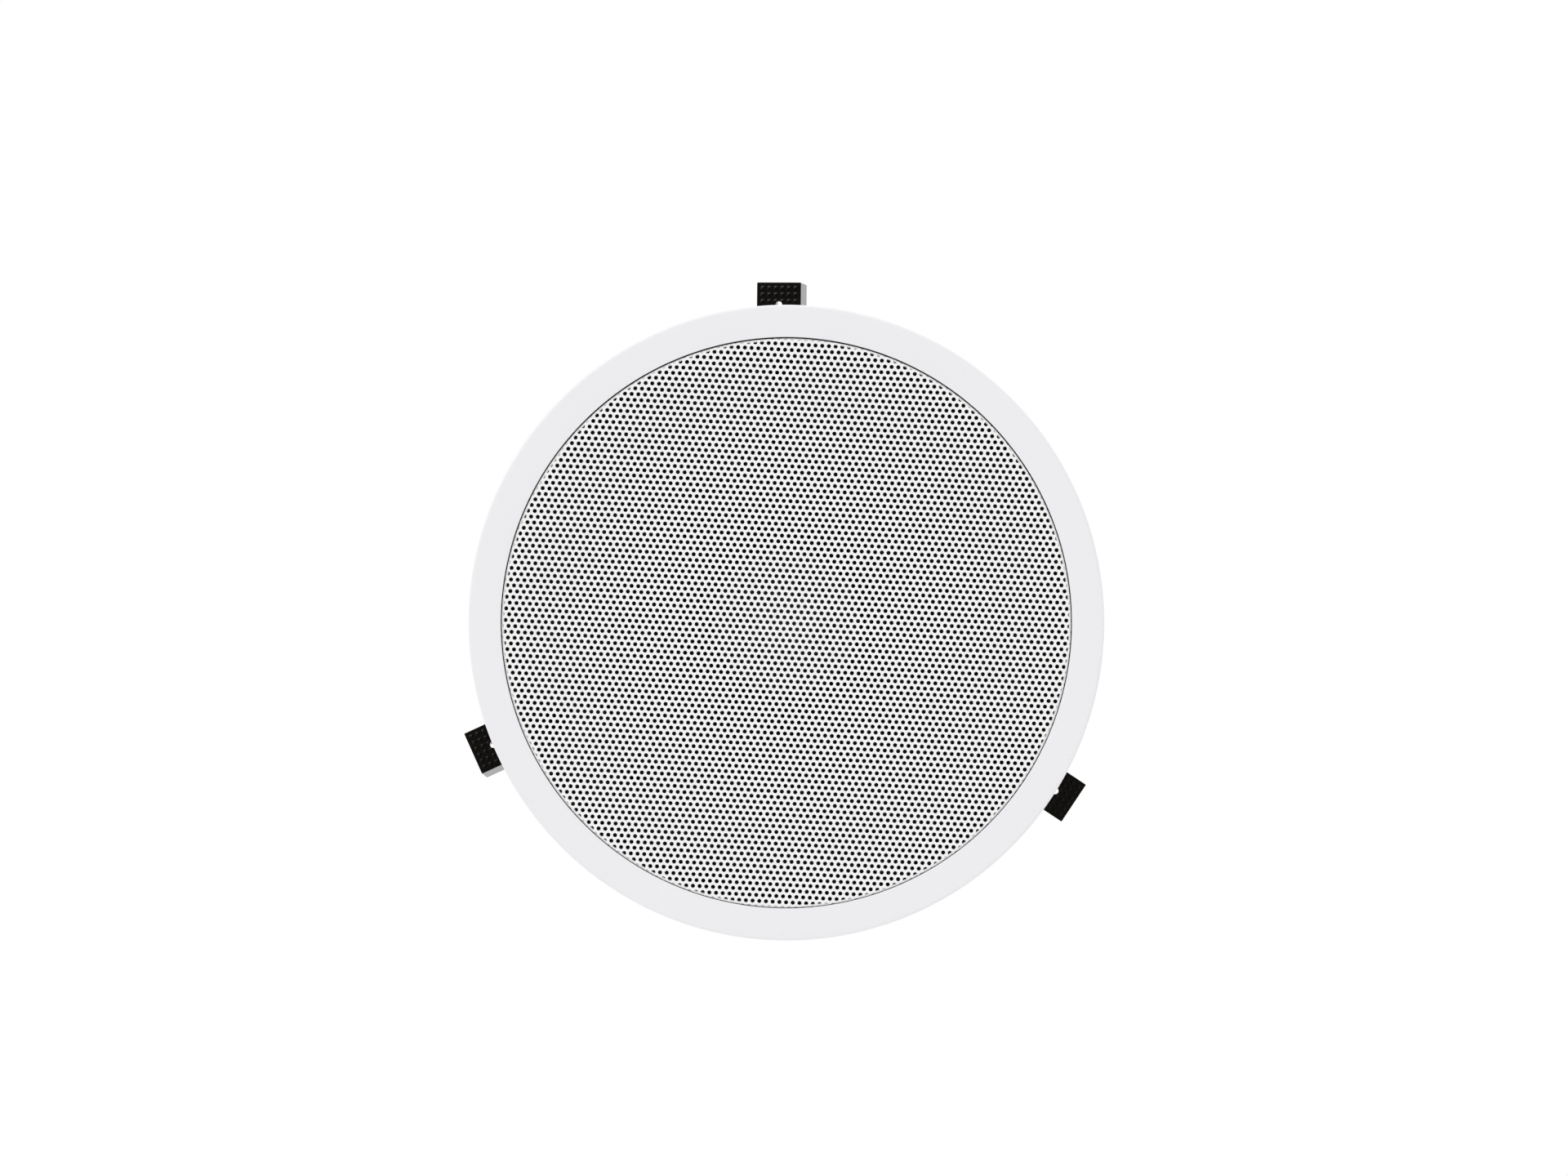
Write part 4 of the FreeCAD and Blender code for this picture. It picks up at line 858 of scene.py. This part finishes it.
# %% Coil of the crossover
WIRE_DIAMETER = 0.8
WINDING_DIAMETER = 14.4
CHEEK = 1.2
BORE_RADIUS = 4.0
coil_low, coil_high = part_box("inductor")
coil_middle = (coil_low + coil_high) / 2
coil_height = (coil_high.y - coil_low.y) / MM - 2 * CHEEK
winding = mesh_from_tree("inductor_winding", spiral_tree, {
    "Ridge Diameter": WINDING_DIAMETER * MM,
    "Ridge Rise": WIRE_DIAMETER / 2 * MM,
    "Ridge Width": WIRE_DIAMETER / 2 * MM,
    "Ridge Corners": 8,
    "Pitch": WIRE_DIAMETER * MM,
    "Turns": coil_height / WIRE_DIAMETER - 1,
    "Steps": 40,
    "Place": (coil_middle.x, coil_low.y + (CHEEK + WIRE_DIAMETER / 2) * MM, coil_middle.z),
    "Facing": FACING_BACK,
    "Material": finish["copper_wire"],
}, sharp_above=50)
add_piece("inductor_winding", winding, "speaker_body", "copper_wire", "inductor")
cheek_radius = (coil_high.x - coil_low.x) / MM / 2
coil_back, coil_front = -coil_high.y / MM, -coil_low.y / MM
bobbin = turned_mesh("inductor_bobbin", [
    (BORE_RADIUS, coil_back, 0.3),
    (BORE_RADIUS, coil_front),
    (cheek_radius, coil_front, 0.3),
    (cheek_radius, coil_front - CHEEK, 0.3),
    (WINDING_DIAMETER / 2, coil_front - CHEEK),
    (WINDING_DIAMETER / 2, coil_back + CHEEK),
    (cheek_radius, coil_back + CHEEK, 0.3),
    (cheek_radius, coil_back, 0.3),
], segments=64, steps=3)
bobbin.transform(Matrix.Translation((coil_middle.x, 0, coil_middle.z)))
add_piece("inductor_bobbin", bobbin, "speaker_body", "black_abs", "inductor")

# %% [markdown]
# ## Capacitor
#
# An electrolytic capacitor is an aluminium can in a shrunk sleeve. The sleeve folds over the shoulder and
# leaves a disc of bare metal at one end, and near the other a rolled groove holds the rubber bung. It is a
# turned piece, so the section says all of it. It is drawn on the axis and then laid on the board.

# %% Capacitor
SLEEVE_FOLD = 1.2
GROOVE_PLACE = 2.9
GROOVE_HALF = 0.7
GROOVE_DEPTH = 0.5
END_MARGIN = 1.3
can_low, can_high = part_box("capacitor")
can_middle = (can_low + can_high) / 2
can_radius = (can_high.y - can_low.y) / MM / 2
can_half = (can_high.x - can_low.x) / MM / 2
lay_on_board = Matrix.Translation(can_middle) @ Matrix.Rotation(math.radians(90), 4, "Z")
capacitor_pieces = {
    "capacitor_sleeve": ("capacitor_sleeve", [
        (can_radius - SLEEVE_FOLD, -can_half, 0.1),
        (can_radius, -can_half, 0.7),
        (can_radius, -can_half + GROOVE_PLACE - GROOVE_HALF, 0.5),
        (can_radius - GROOVE_DEPTH, -can_half + GROOVE_PLACE, 0.5),
        (can_radius, -can_half + GROOVE_PLACE + GROOVE_HALF, 0.5),
        (can_radius, can_half, 0.7),
        (can_radius - SLEEVE_FOLD, can_half, 0.1),
    ]),
    "capacitor_end": ("former_aluminium", [
        (0, can_half - 0.5),
        (0, can_half - 0.2),
        (can_radius - END_MARGIN, can_half - 0.15, 0.1),
        (can_radius - END_MARGIN, can_half - 0.5),
    ]),
    "capacitor_bung": ("surround_rubber", [
        (0, -can_half + 0.3),
        (0, -can_half + 0.8),
        (can_radius - END_MARGIN, -can_half + 0.8),
        (can_radius - END_MARGIN, -can_half + 0.3, 0.2),
    ]),
}
for name, (slot, section) in capacitor_pieces.items():
    mesh = turned_mesh(name, section, segments=64, steps=4)
    mesh.transform(lay_on_board)
    add_piece(name, mesh, "speaker_body", slot, "capacitor")

# %% [markdown]
# ## Surround and spider
#
# Two soft rings hold the cone: a rubber half roll at its rim and a folded cloth at its neck. Inside they go
# with the cone, outside they are glued to the basket, and between they bend. One stiff ring would be cut by
# the cone when it moves. Each ring is made in narrow sectors instead, each turned from the same section
# and set where the ring stands, in place of the imported solid.


# %% Ring that gives way
RING_SEGMENTS = 144


def add_flexing_ring(name, node, section, sectors):
    """A soft ring in sectors, each turned from the same section and set in place of the imported node."""
    for at in range(sectors):
        mesh = turned_mesh(f"{name}_{at + 1}", section, segments=RING_SEGMENTS // sectors,
                           sector=(at, sectors))
        mesh.materials.append(finish[slot_of[node]])
        piece = add_object(mesh.name, mesh)
        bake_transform(piece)
        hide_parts(node)
    print(name, "is", sectors, "sectors of", len(mesh.polygons), "faces")


# %% Surround
ROLL_RADIUS = 4.5
ROLL_LIP = 3.2
ROLL_STEPS = 24
RUBBER = 0.6
surround_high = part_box("surround")[1]
roll_centre = surround_high.x / MM - ROLL_LIP - ROLL_RADIUS
roll_foot = -surround_high.y / MM
lip_inside = roll_centre - ROLL_RADIUS - ROLL_LIP
lip_outside = roll_centre + ROLL_RADIUS + ROLL_LIP
lip_rise = math.asin(RUBBER / (ROLL_RADIUS + RUBBER / 2))


def roll_arc(reach, angle_from, angle_to):
    """The points of one side of the roll, between two angles from the outer lip."""
    angles = [angle_from + (angle_to - angle_from) * step / ROLL_STEPS for step in range(ROLL_STEPS + 1)]
    return [(roll_centre + reach * math.cos(angle), roll_foot + reach * math.sin(angle)) for angle in angles]


surround_section = [
    (lip_inside, roll_foot),
    (lip_inside, roll_foot + RUBBER),
    *roll_arc(ROLL_RADIUS + RUBBER / 2, math.pi - lip_rise, lip_rise),
    (lip_outside, roll_foot + RUBBER),
    (lip_outside, roll_foot),
    *roll_arc(ROLL_RADIUS - RUBBER / 2, 0, math.pi),
]
add_flexing_ring("surround_roll", "surround", surround_section,
                 sectors=24)

# %% Spider
CLOTH = 0.5
FOLD_RISE = 1.0
FOLDS = 4
FOLD_STEPS = 8
NECK_RADIUS = 16.45
FOLDS_FROM = 17.45
FOLDS_TO = 40.5
spider_low, spider_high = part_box("spider")
cloth_top = -spider_low.y / MM - FOLD_RISE
cloth_line = [(NECK_RADIUS, cloth_top)]
for step in range(2 * FOLD_STEPS * FOLDS + 1):
    fold = step / FOLD_STEPS
    height = FOLD_RISE * math.cos(math.pi * fold) * min(1, fold, 2 * FOLDS - fold)
    cloth_line.append((FOLDS_FROM + (FOLDS_TO - FOLDS_FROM) * fold / (2 * FOLDS), cloth_top + height))
cloth_line.append((spider_high.x / MM, cloth_top))
under_cloth = [(radius, height - CLOTH) for radius, height in reversed(cloth_line)]
add_flexing_ring("spider_folds", "spider", cloth_line + under_cloth,
                 sectors=8)
